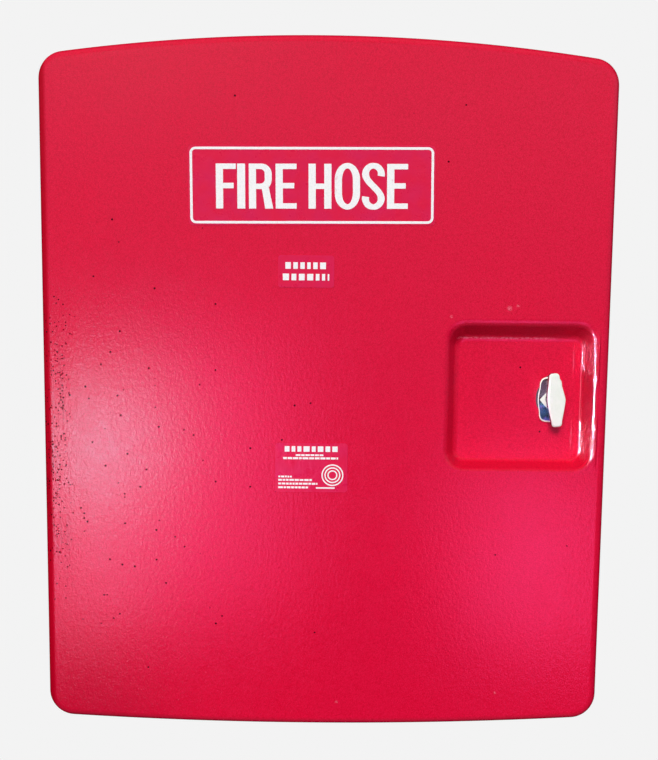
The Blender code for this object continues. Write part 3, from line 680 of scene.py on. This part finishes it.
def make_door():
    """The door: a shallow pan with the latch pocket let into its face."""
    skin = Skin()
    lip = 0.0008
    outer = [door_ring(lip, RIM), door_ring(0.0, RIM - lip)]
    outer += [door_ring(0.0, mix(RIM, FACE, share)) for share in (0.25, 0.5, 0.7)]
    outer += round_edge(door_ring, 0.0, DOOR_ROUND, FACE, 1, 14)
    rim_start, face_edge = skin.chain(outer)
    pocket_top, pocket_floor = skin.chain(pocket_rings(0.0))
    skin.fill(face_edge, pocket_top)
    skin.fill(pocket_floor)
    inner = [door_ring(DOOR_WALL - lip, RIM), door_ring(DOOR_WALL, RIM - lip)]
    inner += [door_ring(DOOR_WALL, mix(RIM, FACE, 0.5))]
    inner += round_edge(door_ring, DOOR_WALL, DOOR_ROUND - DOOR_WALL, FACE + DOOR_WALL, 1, 8)
    inside_start, inside_edge = skin.chain(inner, slot=1)
    back_top, back_floor = skin.chain(pocket_rings(DOOR_WALL), slot=1)
    skin.fill(inside_edge, back_top, slot=1)
    skin.fill(back_floor, slot=1)
    skin.bridge(rim_start, inside_start, slot=1)
    door = piece(
        "door_moulding", skin.mesh("door", [RED, INSIDE]), "door", "door_shell"
    )
    drill(door, [((LATCH_X, POCKET_BOTTOM, LATCH_Z), (0, 1, 0), BARREL_HOLE, 0.03)])
    weighted(door)


make_door()

# ---------------- body

PAD_HEIGHTS = (0.110, 0.740)
PAD_HALF_WIDTH = 0.300
PAD_HALF_HEIGHT = 0.040
PAD_RADIUS = 0.015
WALL_HOLES = [(x, z) for x in (-0.240, 0.240) for z in PAD_HEIGHTS]
WALL_HOLE_RADIUS = 0.0055
DRAIN_X = (-0.25, 0.25)
DRAIN_RADIUS = 0.006


def pad_ring(z, inset, out):
    """An outline of the raised pad at height z."""
    outline = rounded_rectangle(
        0.0, z, PAD_HALF_WIDTH - inset, PAD_HALF_HEIGHT - inset, PAD_RADIUS - inset
    )
    return [(x, BODY_BACK + out, z) for x, z in outline]


def make_tub():
    """The deep tub with its two raised pads, wall holes and drain holes."""
    skin = Skin()
    lip = 0.0006
    start = BODY_FRONT + FRAME_THICKNESS + GAP
    back_inside = BODY_BACK - BODY_WALL
    outer = [body_ring(lip, start), body_ring(0.0, start + lip)]
    outer += [body_ring(0.0, mix(start, BODY_BACK, share)) for share in (0.3, 0.6)]
    outer += round_edge(body_ring, 0.0, BODY_ROUND, BODY_BACK, -1, 12)
    first, back = skin.chain(outer)
    skin.fill(back)
    inner = [body_ring(BODY_WALL - lip, start), body_ring(BODY_WALL, start + lip)]
    inner += [body_ring(BODY_WALL, mix(start, back_inside, 0.6))]
    inner += round_edge(body_ring, BODY_WALL, BODY_ROUND - BODY_WALL, back_inside, -1, 8)
    inside, far = skin.chain(inner, slot=1)
    skin.fill(far, slot=1)
    skin.bridge(first, inside, slot=1)
    body = piece(
        "tub_moulding", skin.mesh("body", [RED, INSIDE]), "cabinet", "cabinet_body"
    )
    for z in PAD_HEIGHTS:
        pad = Skin()
        # inset of the outline, and how far it lies behind the body's back
        sizes = [(0.0, -0.003), (0.0, 0.0055), (0.0007, 0.0070), (0.0022, PAD_RAISE)]
        low, high = pad.chain(pad_ring(z, inset, out) for inset, out in sizes)
        pad.fill(low)
        pad.fill(high)
        cut_with(body, pad.mesh("pad", [RED]), "UNION")
    holes = [((x, BODY_BACK, z), (0, 1, 0), WALL_HOLE_RADIUS, 0.04) for x, z in WALL_HOLES]
    holes += [((x, 0.0, 0.0), (0, 0, 1), DRAIN_RADIUS, 0.03) for x in DRAIN_X]
    drill(body, holes)
    weighted(body)


def make_frame():
    """The flat frame bonded to the tub's front edge."""
    skin = Skin()
    lip = 0.0010
    behind = BODY_FRONT + FRAME_THICKNESS

    def mouth(inset, y):
        return body_ring(FRAME_WIDTH + inset, y, DOOR_LOW)

    rings = [
        mouth(-lip, behind), mouth(0.0, behind - lip), mouth(0.0, BODY_FRONT + lip),
        mouth(-lip, BODY_FRONT), body_ring(lip, BODY_FRONT), body_ring(0.0, BODY_FRONT + lip),
        body_ring(0.0, behind - 0.0004), body_ring(0.0006, behind),
    ]
    first, last = skin.chain(rings)
    skin.bridge(last, first, slot=1)
    frame_ring = piece(
        "frame_moulding",
        skin.mesh("frame", [RED, INSIDE]),
        "cabinet",
        "front_frame",
    )
    weighted(frame_ring)


make_tub()
make_frame()

# ---------------- latch


def hexagon(length, width, end_width, scale=1.0, nose=0.0, steps=10):
    """A long hexagon, widest in the middle, with round ends. nose blunts its side corners."""
    end = end_width / 2 * scale
    straight = (length / 2) * scale - end
    extra = (width - end_width) / 2 * scale
    side = []
    for i in range(-steps, steps + 1):
        share = abs(i / steps)
        swell = 1 - (math.hypot(share, nose) - nose) / (math.hypot(1, nose) - nose)
        side.append((end + extra * swell, i / steps * straight))
    return closed_outline(side, straight, end)


def barrel_outline(length, width, end_width, bulge, scale=1.0, steps=10):
    """As the hexagon, but with its long sides bowed."""
    end = end_width / 2 * scale
    straight = (length / 2) * scale - end
    extra = (width - end_width) / 2 * scale
    side = [
        (end + extra * (1 - abs(i / steps) ** bulge), i / steps * straight)
        for i in range(-steps, steps + 1)
    ]
    return closed_outline(side, straight, end)


def closed_outline(side, straight, end):
    """Both long sides with the ends between them: nearly flat, with round corners."""
    squash = 0.62  # 1 gives a half circle, and less gives squarer corners
    top = [
        (end * math.copysign(abs(x) ** squash, x), straight + end * z**squash)
        for x, z in arc((0.0, 0.0), 1.0, 0, 180, 12)[1:-1]
    ]
    return side + top + [(-x, -z) for x, z in side] + [(-x, -z) for x, z in top]


def turned_rings(profile, sides=40):
    """Rings about the latch's axis from (radius, y)."""
    return [
        [(LATCH_X + x, y, LATCH_Z + z) for x, z in circle(radius, sides)] for radius, y in profile
    ]


def make_handle():
    """The T-handle: a long flat hexagon on a round neck, leaning a little to the left."""
    low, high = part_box("latch_handle")
    front, neck_back = low.y, high.y
    lean = math.radians(5.0)
    wing = front + 0.0105
    skin = Skin()
    length, end = 0.069, 0.0132
    # scale of the outline, and its place from back to front
    sections = [
        (0.80, wing), (0.92, wing - 0.0006), (0.98, wing - 0.0016), (1.0, wing - 0.0026),
        (1.0, front + 0.0024), (0.985, front + 0.0012), (0.96, front + 0.0005),
        (0.92, front + 0.0001), (0.80, front),
    ]
    # painted shade: the handle's side bands take the dark plate colour
    painted_shade_bands = 4
    rings = []
    for scale, y in sections:
        # the left side is straighter than the right one
        right = hexagon(length, 0.0254, end, scale, 0.12)
        left = hexagon(length, 0.0206, end, scale, 0.30)
        outline = [a if a[0] >= 0 else b for a, b in zip(right, left)]
        rings.append(
            [
                (
                    LATCH_X + x * math.cos(lean) - z * math.sin(lean),
                    y,
                    LATCH_Z + x * math.sin(lean) + z * math.cos(lean),
                )
                for x, z in outline
            ]
        )
    back = skin.ring(rings[0])
    skin.fill(back)
    for i, ring in enumerate(rings[1:]):
        ring = skin.ring(ring)
        skin.bridge(back, ring, slot=1 if i < painted_shade_bands else 0)
        back = ring
    skin.fill(back)
    profile = [(0.0060, wing - 0.002), (0.0068, wing + 0.0004), (0.0070, wing + 0.0020),
               (0.0074, wing + 0.0045), (0.0080, neck_back - 0.0004), (0.0076, neck_back)]
    # the neck takes the painted shade too
    start, end_ring = skin.chain(turned_rings(profile), slot=1)
    skin.fill(start)
    skin.fill(end_ring)
    mesh = skin.mesh("handle", [SATIN, SIDE_PAINTED_SHADE], 30)
    handle = piece("t_handle", mesh, "latch", "latch_handle")
    weighted(handle)


def make_plate():
    """The cover plate: a faceted hexagon with its boss and the barrel behind it."""
    back = PLATE_MAX.y
    front = PLATE_MIN.y
    plate_top = front + 0.0015
    plate_low = plate_top + 0.006
    skin = Skin()
    size = (0.059, 0.0330, 0.0290, 2.0)  # length, width, end width and bulge
    sag = 0.0012  # the plate sits this much below the latch's axis
    outline = barrel_outline(*size)
    shapes = [
        (outline, plate_low),
        (outline, plate_low - 0.0022),
        (barrel_outline(*size, 0.985), plate_low - 0.0027),
        (barrel_outline(*size, 0.94), plate_low - 0.0029),
        (hexagon(0.034, 0.0300, 0.003, 1.0, 0.02), plate_top),
    ]
    rings = [
        skin.ring([(LATCH_X + x, y, LATCH_Z + z - sag) for x, z in shape]) for shape, y in shapes
    ]
    # painted highlight: the plate's rounded rim bands take the near-white satin
    for i, (first, second) in enumerate(zip(rings[:-2], rings[1:])):
        skin.bridge(first, second, slot=3 if i else 0)
    rim, top = rings[-2:]
    # painted reflection: upper bevel faces take a darker colour, lower ones a bluer colour
    for i in range(len(top)):
        j = (i + 1) % len(top)
        upper = (shapes[0][0][i][1] + shapes[0][0][j][1]) > 0
        skin.face((rim[i], rim[j], top[j], top[i]), 1 if upper else 2)
    skin.fill(rings[0])
    # painted reflection: the flat front takes the near-white satin
    skin.fill(top, slot=3)
    # the boss from its foot, the recess in it, and the barrel from its bore to its outside
    profile = [
        (0.0085, plate_top + 0.001), (0.0085, plate_top - 0.0003), (0.0083, front + 0.0003),
        (0.0081, front), (0.0079, front), (0.0078, front + 0.0003), (0.0078, front + 0.003),
        (0.0055, front + 0.003), (0.0055, back - 0.0005), (0.0058, back), (0.0092, back),
        (0.0095, back - 0.0004), (0.0095, plate_low - 0.001),
    ]
    skin.chain(turned_rings(profile))
    mesh = skin.mesh("plate", [CHROME, UPPER_PAINTED_REFLECTION, LOWER_PAINTED_REFLECTION, SATIN], 22)
    plate = piece("cover_plate", mesh, "door", "latch_escutcheon")
    weighted(plate)


make_handle()
make_plate()

# ---------------- printed films

SIGN_MIN, SIGN_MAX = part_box("sign_film")
SIGN_TURN = 0.57  # degrees
FILM_LAYER = (0.0002, 0.0003)  # gap to the door's face, and thickness
PRINT_LAYER = (0.0005, 0.0002)


def flat_curve(name, loops, thickness):
    """A flat piece of even thickness from closed loops; a loop inside another is a hole."""
    data = bpy.data.curves.new(name, "CURVE")
    data.dimensions = "2D"
    data.fill_mode = "BOTH"
    data.extrude = thickness / 2
    for loop in loops:
        spline = data.splines.new("POLY")
        spline.points.add(len(loop) - 1)
        for point, (x, z) in zip(spline.points, loop):
            point.co = (x, z, 0.0, 1.0)
        spline.use_cyclic_u = True
    holder = bpy.data.objects.new(name, data)
    bpy.context.scene.collection.objects.link(holder)
    graph = bpy.context.evaluated_depsgraph_get()
    mesh = bpy.data.meshes.new_from_object(holder.evaluated_get(graph))
    bpy.data.objects.remove(holder)
    return mesh


def stick_on(name, loops, centre, turn, material, layer, node=None):
    """A thin piece on the door's face, given by loops about its own centre."""
    out, thickness = layer
    mesh = flat_curve(name, loops, thickness)
    mesh.materials.clear()
    mesh.materials.append(material)
    y = FACE - out - thickness / 2
    matrix = (
        Matrix.Translation((centre[0], y, centre[1]))
        @ Matrix.Rotation(math.radians(-turn), 4, "Y")
        @ Matrix.Rotation(math.pi / 2, 4, "X")
    )
    mesh.transform(matrix)
    return piece(name, mesh, "door", node)


def shifted(loop, dx, dz=0.0):
    return [(x + dx, z + dz) for x, z in loop]


# w, h: a letter's width and height; s, b: the thickness of its stems and of its bars


def letter_e(w, h, s, b, lower=True):
    middle, arm = (h - b) / 2 + 0.0006, w - 0.0028
    upper = [(s, middle), (arm, middle), (arm, middle + b), (s, middle + b), (s, h - b),
             (w, h - b), (w, h), (0, h)]
    base = [(0, 0), (w, 0), (w, b), (s, b)] if lower else [(0, 0), (s, 0)]
    return [base + upper]


def letter_f(w, h, s, b):
    return letter_e(w, h, s, b, lower=False)


def letter_i(w, h, s, b):
    return [[(0, 0), (w, 0), (w, h), (0, h)]]


def letter_h(w, h, s, b):
    low = (h - b) / 2
    return [[(0, 0), (s, 0), (s, low), (w - s, low), (w - s, 0), (w, 0), (w, h), (w - s, h),
             (w - s, low + b), (s, low + b), (s, h), (0, h)]]


def letter_r(w, h, s, b):
    bowl = h * 0.435
    right = w - 0.0012
    curve = 0.0125
    leg = right - s * 0.98
    outer = [(0, 0), (s, 0), (s, bowl), (leg - 0.0035, bowl), (w - s * 1.05, 0), (w + 0.0006, 0),
             (right - s * 0.42, bowl + b * 0.35)]
    outer += ellipse_arc((right - curve * 0.7, bowl + curve), curve * 0.7, curve, -55, 0, 6)
    outer += arc((right - curve, h - curve), curve, 0, 90, 8)
    outer += [(0, h)]
    inner_curve = 0.0055
    hole_right = right - s * 0.97
    hole = [(s, bowl + b)]
    hole += arc((hole_right - inner_curve, bowl + b + inner_curve), inner_curve, -90, 0, 6)
    hole += arc((hole_right - inner_curve, h - b - inner_curve), inner_curve, 0, 90, 6)
    hole += [(s, h - b)]
    return [outer, hole]


def oval(cx, cz, half_width, half_height, shoulder):
    """An upright oval with straight sides between its two half-ellipse ends."""
    points = ellipse_arc((cx, cz + half_height - shoulder), half_width, shoulder, 0, 180, 20)
    points += ellipse_arc((cx, cz - half_height + shoulder), half_width, shoulder, 180, 360, 20)
    return points


def letter_o(w, h, s, b):
    over = 0.0010
    return [
        oval(w / 2, h / 2, w / 2, h / 2 + over, h * 0.36),
        oval(w / 2, h / 2, w / 2 - s, h / 2 + over - b, h * 0.27),
    ]


def letter_s(w, h, s, b):
    over = 0.0010
    rise = h * 0.185
    reach = (w - s) / 2
    top = (w / 2, h + over - b / 2 - rise)
    low = (w / 2, b / 2 - over + rise)
    path = ellipse_arc(top, reach, rise, -14, 180, 22)
    start, end = Vector((w / 2 - reach, top[1])), Vector((w / 2 + reach, low[1]))
    pull = h * 0.20
    for i in range(1, 16):
        t = i / 16
        a, c = start - Vector((0, pull)), end + Vector((0, pull))
        point = (
            start * (1 - t) ** 3 + a * 3 * t * (1 - t) ** 2 + c * 3 * t * t * (1 - t) + end * t**3
        )
        path.append((point.x, point.y))
    path += ellipse_arc(low, reach, rise, 0, -194, 22)
    left, right = [], []
    for i, point in enumerate(path):
        before, after = Vector(path[max(i - 1, 0)]), Vector(path[min(i + 1, len(path) - 1)])
        along = (after - before).normalized()
        half = (abs(along.x) * b + abs(along.y) * s) / 2 / max(abs(along.x) + abs(along.y), 1)
        left.append((point[0] - along.y * half, point[1] + along.x * half))
        right.append((point[0] + along.y * half, point[1] - along.x * half))
    return [left + right[::-1]]


# letter, width in mm, gap after it in mm
WORDS = [
    (letter_f, 24.8, 1.6), (letter_i, 9.8, 4.5), (letter_r, 29.5, 3.6), (letter_e, 25.9, 14.8),
    (letter_h, 28.3, 4.1), (letter_o, 31.3, 2.3), (letter_s, 28.4, 2.8), (letter_e, 25.9, 0.0),
]


def make_sign():
    """The clear film with its printed border and words."""
    centre = ((SIGN_MIN.x + SIGN_MAX.x) / 2, (SIGN_MIN.z + SIGN_MAX.z) / 2)
    half_w, half_h = 0.1508, 0.0466
    margin = 0.002
    base = rounded_rectangle(0, 0, half_w + margin, half_h + margin, 0.005)
    stick_on("sign_base", [base], centre, SIGN_TURN, FILM, FILM_LAYER, "sign_film")
    line = 0.0031
    border = [
        rounded_rectangle(0, 0, half_w, half_h, 0.0075),
        rounded_rectangle(0, 0, half_w - line, half_h - line, 0.0040),
    ]
    stick_on("sign_border", border, centre, SIGN_TURN, WHITE, PRINT_LAYER)
    total = sum(width + gap for _, width, gap in WORDS)
    height, stem, bar = 0.0547, 0.0089, 0.0066
    x = -total / 2000
    loops = []
    for letter, width, gap in WORDS:
        for loop in letter(width / 1000, height, stem, bar):
            loops.append(shifted(loop, x, -height / 2 - 0.0010))
        x += (width + gap) / 1000
    stick_on("sign_lettering", loops, centre, SIGN_TURN, WHITE, PRINT_LAYER)


def rows_of_bars(rows, seed):
    """Plain dashes where small print would be: (left, right, z, height, longest dash)."""
    loops = []
    state = seed
    for left, right, z, height, longest in rows:
        x = left
        while x < right - 0.0010:
            state = (state * 1103515245 + 12345) % 2**31
            dash = longest * (0.45 + 0.55 * (state / 2**31))
            end = min(x + dash, right)
            loops.append([(x, z), (end, z), (end, z + height), (x, z + height)])
            x = end + height * 0.38
    return loops


def make_notice():
    """The small film under the sign, with bars in place of its text."""
    low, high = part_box("notice_film")
    centre = ((low.x + high.x) / 2, (low.z + high.z) / 2)
    base = rounded_rectangle(0, 0, 0.0350, 0.0200, 0.004)
    stick_on("notice_base", [base], centre, 0.0, FILM, FILM_LAYER, "notice_film")
    rows = [(-0.026, 0.026, 0.0030, 0.0082, 0.0085), (-0.029, 0.029, -0.0112, 0.0082, 0.0085)]
    stick_on("notice_bars", rows_of_bars(rows, 11), centre, 0.0, WHITE, PRINT_LAYER)


def make_maker_label():
    """The maker's film, with bars and rings in place of its text and mark."""
    low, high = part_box("maker_film")
    centre = ((low.x + high.x) / 2, (low.z + high.z) / 2)
    base = rounded_rectangle(0, 0, 0.0460, 0.0315, 0.004)
    stick_on("maker_base", [base], centre, 0.0, FILM, FILM_LAYER, "maker_film")
    rows = [
        (-0.034, 0.034, 0.0205, 0.0070, 0.0080),
        (-0.020, 0.016, 0.0150, 0.0022, 0.0060),
        (-0.036, 0.034, 0.0108, 0.0026, 0.0075),
        (-0.042, -0.024, -0.0128, 0.0022, 0.0045),
        (-0.042, 0.002, -0.0172, 0.0024, 0.0060),
        (-0.042, 0.008, -0.0220, 0.0024, 0.0060),
        (-0.042, -0.004, -0.0268, 0.0024, 0.0060),
    ]
    stick_on("maker_bars", rows_of_bars(rows, 5), centre, 0.0, WHITE, PRINT_LAYER)
    ring = (0.0270, -0.0095)
    loops = []
    for radius in (0.0140, 0.0102, 0.0064):
        loops += [circle(radius, 48, ring), circle(radius - 0.0016, 48, ring)]
    loops.append([(0.006, -0.0270), (0.0300, -0.0270), (0.0300, -0.0252), (0.006, -0.0252)])
    stick_on("maker_ring", loops, centre, 0.0, WHITE, PRINT_LAYER)


make_sign()
make_notice()
make_maker_label()

# ---------------- finishes of the CAD nodes


def finish_node(name, material):
    """Gives every slot of a CAD node one material."""
    slots = NODES[name].data.materials
    if len(slots):
        for i in range(len(slots)):
            slots[i] = material
    else:
        slots.append(material)


FINISHES = [
    (RUBBER, ["door_seal", "latch_gasket", "spindle_seal"]),
    (STAINLESS, ["hinge_leaf_body", "hinge_leaf_door", "hinge_pin", "nozzle_clip", "clip_rivet",
                 "spanner_hook", "hook_rivet_lower", "hook_rivet_upper", "keeper_plate",
                 "keeper_rivet_lower", "keeper_rivet_upper", "latch_backing_plate",
                 "latch_clamp_nut"]),
    (STAINLESS, [f"hinge_rivet_{side}_{i}" for side in ("body", "door") for i in range(1, 7)]),
    (ZINC, ["hose_saddle", "mounting_strap_lower", "mounting_strap_upper", "latch_spindle",
            "latch_cam", "cam_washer", "cam_nut"]),
    (ZINC, [f"saddle_{kind}_{i}" for kind in ("bolt", "nut") for i in range(1, 5)]),
]
for material, names in FINISHES:
    for name in names:
        finish_node(name, material)

# ---------------- stage and light

BACKDROP = 0.896  # the pale grey around the object, as light
FLOOR_HALF = 14.0
FLOOR_DROP = 0.0006  # the floor lies this much below the body's underside

ROOM_STOPS = [  # elevation in degrees, and the light that comes from there
    (-90, (0.06, 0.10, 0.15)),
    (-46, (0.04, 0.08, 0.13)),
    (-36, (0.02, 0.03, 0.06)),
    (-24, (0.01, 0.004, 0.02)),
    (-13, (0.04, 0.02, 0.09)),
    (-3, (0.20, 0.13, 0.27)),
    (5, (0.33, 0.23, 0.41)),
    (18, (0.60, 0.50, 0.72)),
    (25, (0.54, 0.46, 0.60)),
    (34, (0.24, 0.19, 0.22)),
    (90, (0.45, 0.42, 0.45)),
]


def make_world():
    """The pale backdrop the camera sees, and the dim room that lights and is mirrored."""
    world = bpy.data.worlds.new("studio")
    bpy.context.scene.world = world
    world.use_nodes = True
    tree = world.node_tree
    tree.nodes.clear()

    def node(kind, **settings):
        made = tree.nodes.new(kind)
        for key, value in settings.items():
            setattr(made, key, value)
        return made

    def background(colour_in):
        made = node("ShaderNodeBackground")
        if isinstance(colour_in, bpy.types.NodeSocket):
            tree.links.new(colour_in, made.inputs["Color"])
        else:
            made.inputs["Color"].default_value = (*colour_in, 1.0)
        return made.outputs[0]

    def choose(which, first, second):
        made = node("ShaderNodeMixShader")
        tree.links.new(which, made.inputs[0])
        tree.links.new(first, made.inputs[1])
        tree.links.new(second, made.inputs[2])
        return made.outputs[0]

    split = node("ShaderNodeSeparateXYZ")
    tree.links.new(node("ShaderNodeTexCoord").outputs["Generated"], split.inputs[0])
    height = node("ShaderNodeMapRange")
    height.inputs["From Min"].default_value = -1.0
    tree.links.new(split.outputs["Z"], height.inputs["Value"])
    ramp = node("ShaderNodeValToRGB")
    elements = ramp.color_ramp.elements
    while len(elements) < len(ROOM_STOPS):
        elements.new(0.5)
    for element, (elevation, level) in zip(elements, ROOM_STOPS):
        element.position = (math.sin(math.radians(elevation)) + 1) / 2
        element.color = (*level, 1.0)
    tree.links.new(height.outputs[0], ramp.inputs[0])
    behind = node("ShaderNodeMapRange")
    tree.links.new(split.outputs["Y"], behind.inputs["Value"])
    for key, value in (("From Min", -0.25), ("From Max", 0.15), ("To Min", 1.0), ("To Max", 0.1)):
        behind.inputs[key].default_value = value
    room = node("ShaderNodeVectorMath", operation="SCALE")
    tree.links.new(ramp.outputs[0], room.inputs[0])
    tree.links.new(behind.outputs[0], room.inputs["Scale"])

    path = node("ShaderNodeLightPath")
    shown = choose(
        path.outputs["Is Camera Ray"], background(room.outputs[0]), background((BACKDROP,) * 3)
    )
    tree.links.new(shown, node("ShaderNodeOutputWorld").inputs[0])


def make_floor():
    """A floor that gives off the backdrop's light and is seen by the camera only."""
    maker = bmesh.new()
    bmesh.ops.create_grid(maker, x_segments=1, y_segments=1, size=FLOOR_HALF)
    mesh = bpy.data.meshes.new("floor")
    maker.to_mesh(mesh)
    maker.free()
    floor = bpy.data.objects.new("floor", mesh)
    floor.location = (0.0, 0.0, -FLOOR_DROP)
    bpy.context.scene.collection.objects.link(floor)
    material = bpy.data.materials.new("pale_floor")
    material.use_nodes = True
    tree = material.node_tree
    shader = tree.nodes["Principled BSDF"]
    shader.inputs["Base Color"].default_value = (0.0, 0.0, 0.0, 1.0)
    shader.inputs["Roughness"].default_value = 0.9
    shader.inputs["Specular IOR Level"].default_value = 0.0
    shader.inputs["Emission Color"].default_value = (1.0, 1.0, 1.0, 1.0)
    shader.inputs["Emission Strength"].default_value = BACKDROP
    mesh.materials.append(material)
    floor.visible_diffuse = False
    floor.visible_glossy = False
    floor.visible_transmission = False
    floor.visible_shadow = False


def area_light(name, place, aim, width, height, power, tint, spread=180):
    """A soft light that is seen only where it is mirrored."""
    data = bpy.data.lights.new(name, "AREA")
    data.shape = "RECTANGLE"
    data.size, data.size_y = width, height
    data.energy = power
    data.color = tint
    data.spread = math.radians(spread)
    light = bpy.data.objects.new(name, data)
    light.location = place
    light.rotation_euler = (Vector(aim) - Vector(place)).to_track_quat("-Z", "Y").to_euler()
    light.visible_camera = False
    light.visible_diffuse = False
    bpy.context.scene.collection.objects.link(light)
    return light


def sunlight(name, elevation, azimuth, angle, power):
    """Even light from far off, soft by its angle; azimuth is measured from the front."""
    data = bpy.data.lights.new(name, "SUN")
    data.energy = power
    data.angle = math.radians(angle)
    rise, turn = math.radians(elevation), math.radians(azimuth)
    source = Vector(
        (math.cos(rise) * math.sin(turn), -math.cos(rise) * math.cos(turn), math.sin(rise))
    )
    light = bpy.data.objects.new(name, data)
    light.rotation_euler = (-source).to_track_quat("-Z", "Y").to_euler()
    light.visible_glossy = False
    bpy.context.scene.collection.objects.link(light)
    return light


SKYLIGHT = (0.12, 0.76, 0.86)
PALE_ROSE = (0.36, 0.62, 0.78)
ROSE = (1.0, 0.14, 0.52)
LILAC = (0.90, 0.58, 0.95)

make_world()
make_floor()
sunlight("key", 27.0, -15.0, 20.0, 2.76)
sunlight("back", 8.0, 180.0, 30.0, 2.2)
area_light("window", (-0.590, -1.18, 0.215), (-0.25, -0.17, 0.42), 0.21, 0.28, 2.9, SKYLIGHT)
area_light("pane", (-0.625, -1.18, -0.08), (-0.30, -0.17, 0.24), 0.22, 0.40, 1.25, PALE_ROSE)
area_light("glow", (-0.39, -1.20, 0.12), (-0.2, -0.17, 0.35), 0.60, 0.72, 5.6, ROSE)
area_light("low", (0.52, -1.03, -0.04), (0.24, -0.17, 0.26), 0.33, 0.43, 2.2, ROSE)
area_light("side", (-1.35, -0.95, 0.24), (0.37, -0.17, 0.43), 0.14, 0.36, 2.6, LILAC, spread=9)

scene = bpy.context.scene
scene.view_settings.view_transform = "Standard"
scene.view_settings.look = "None"
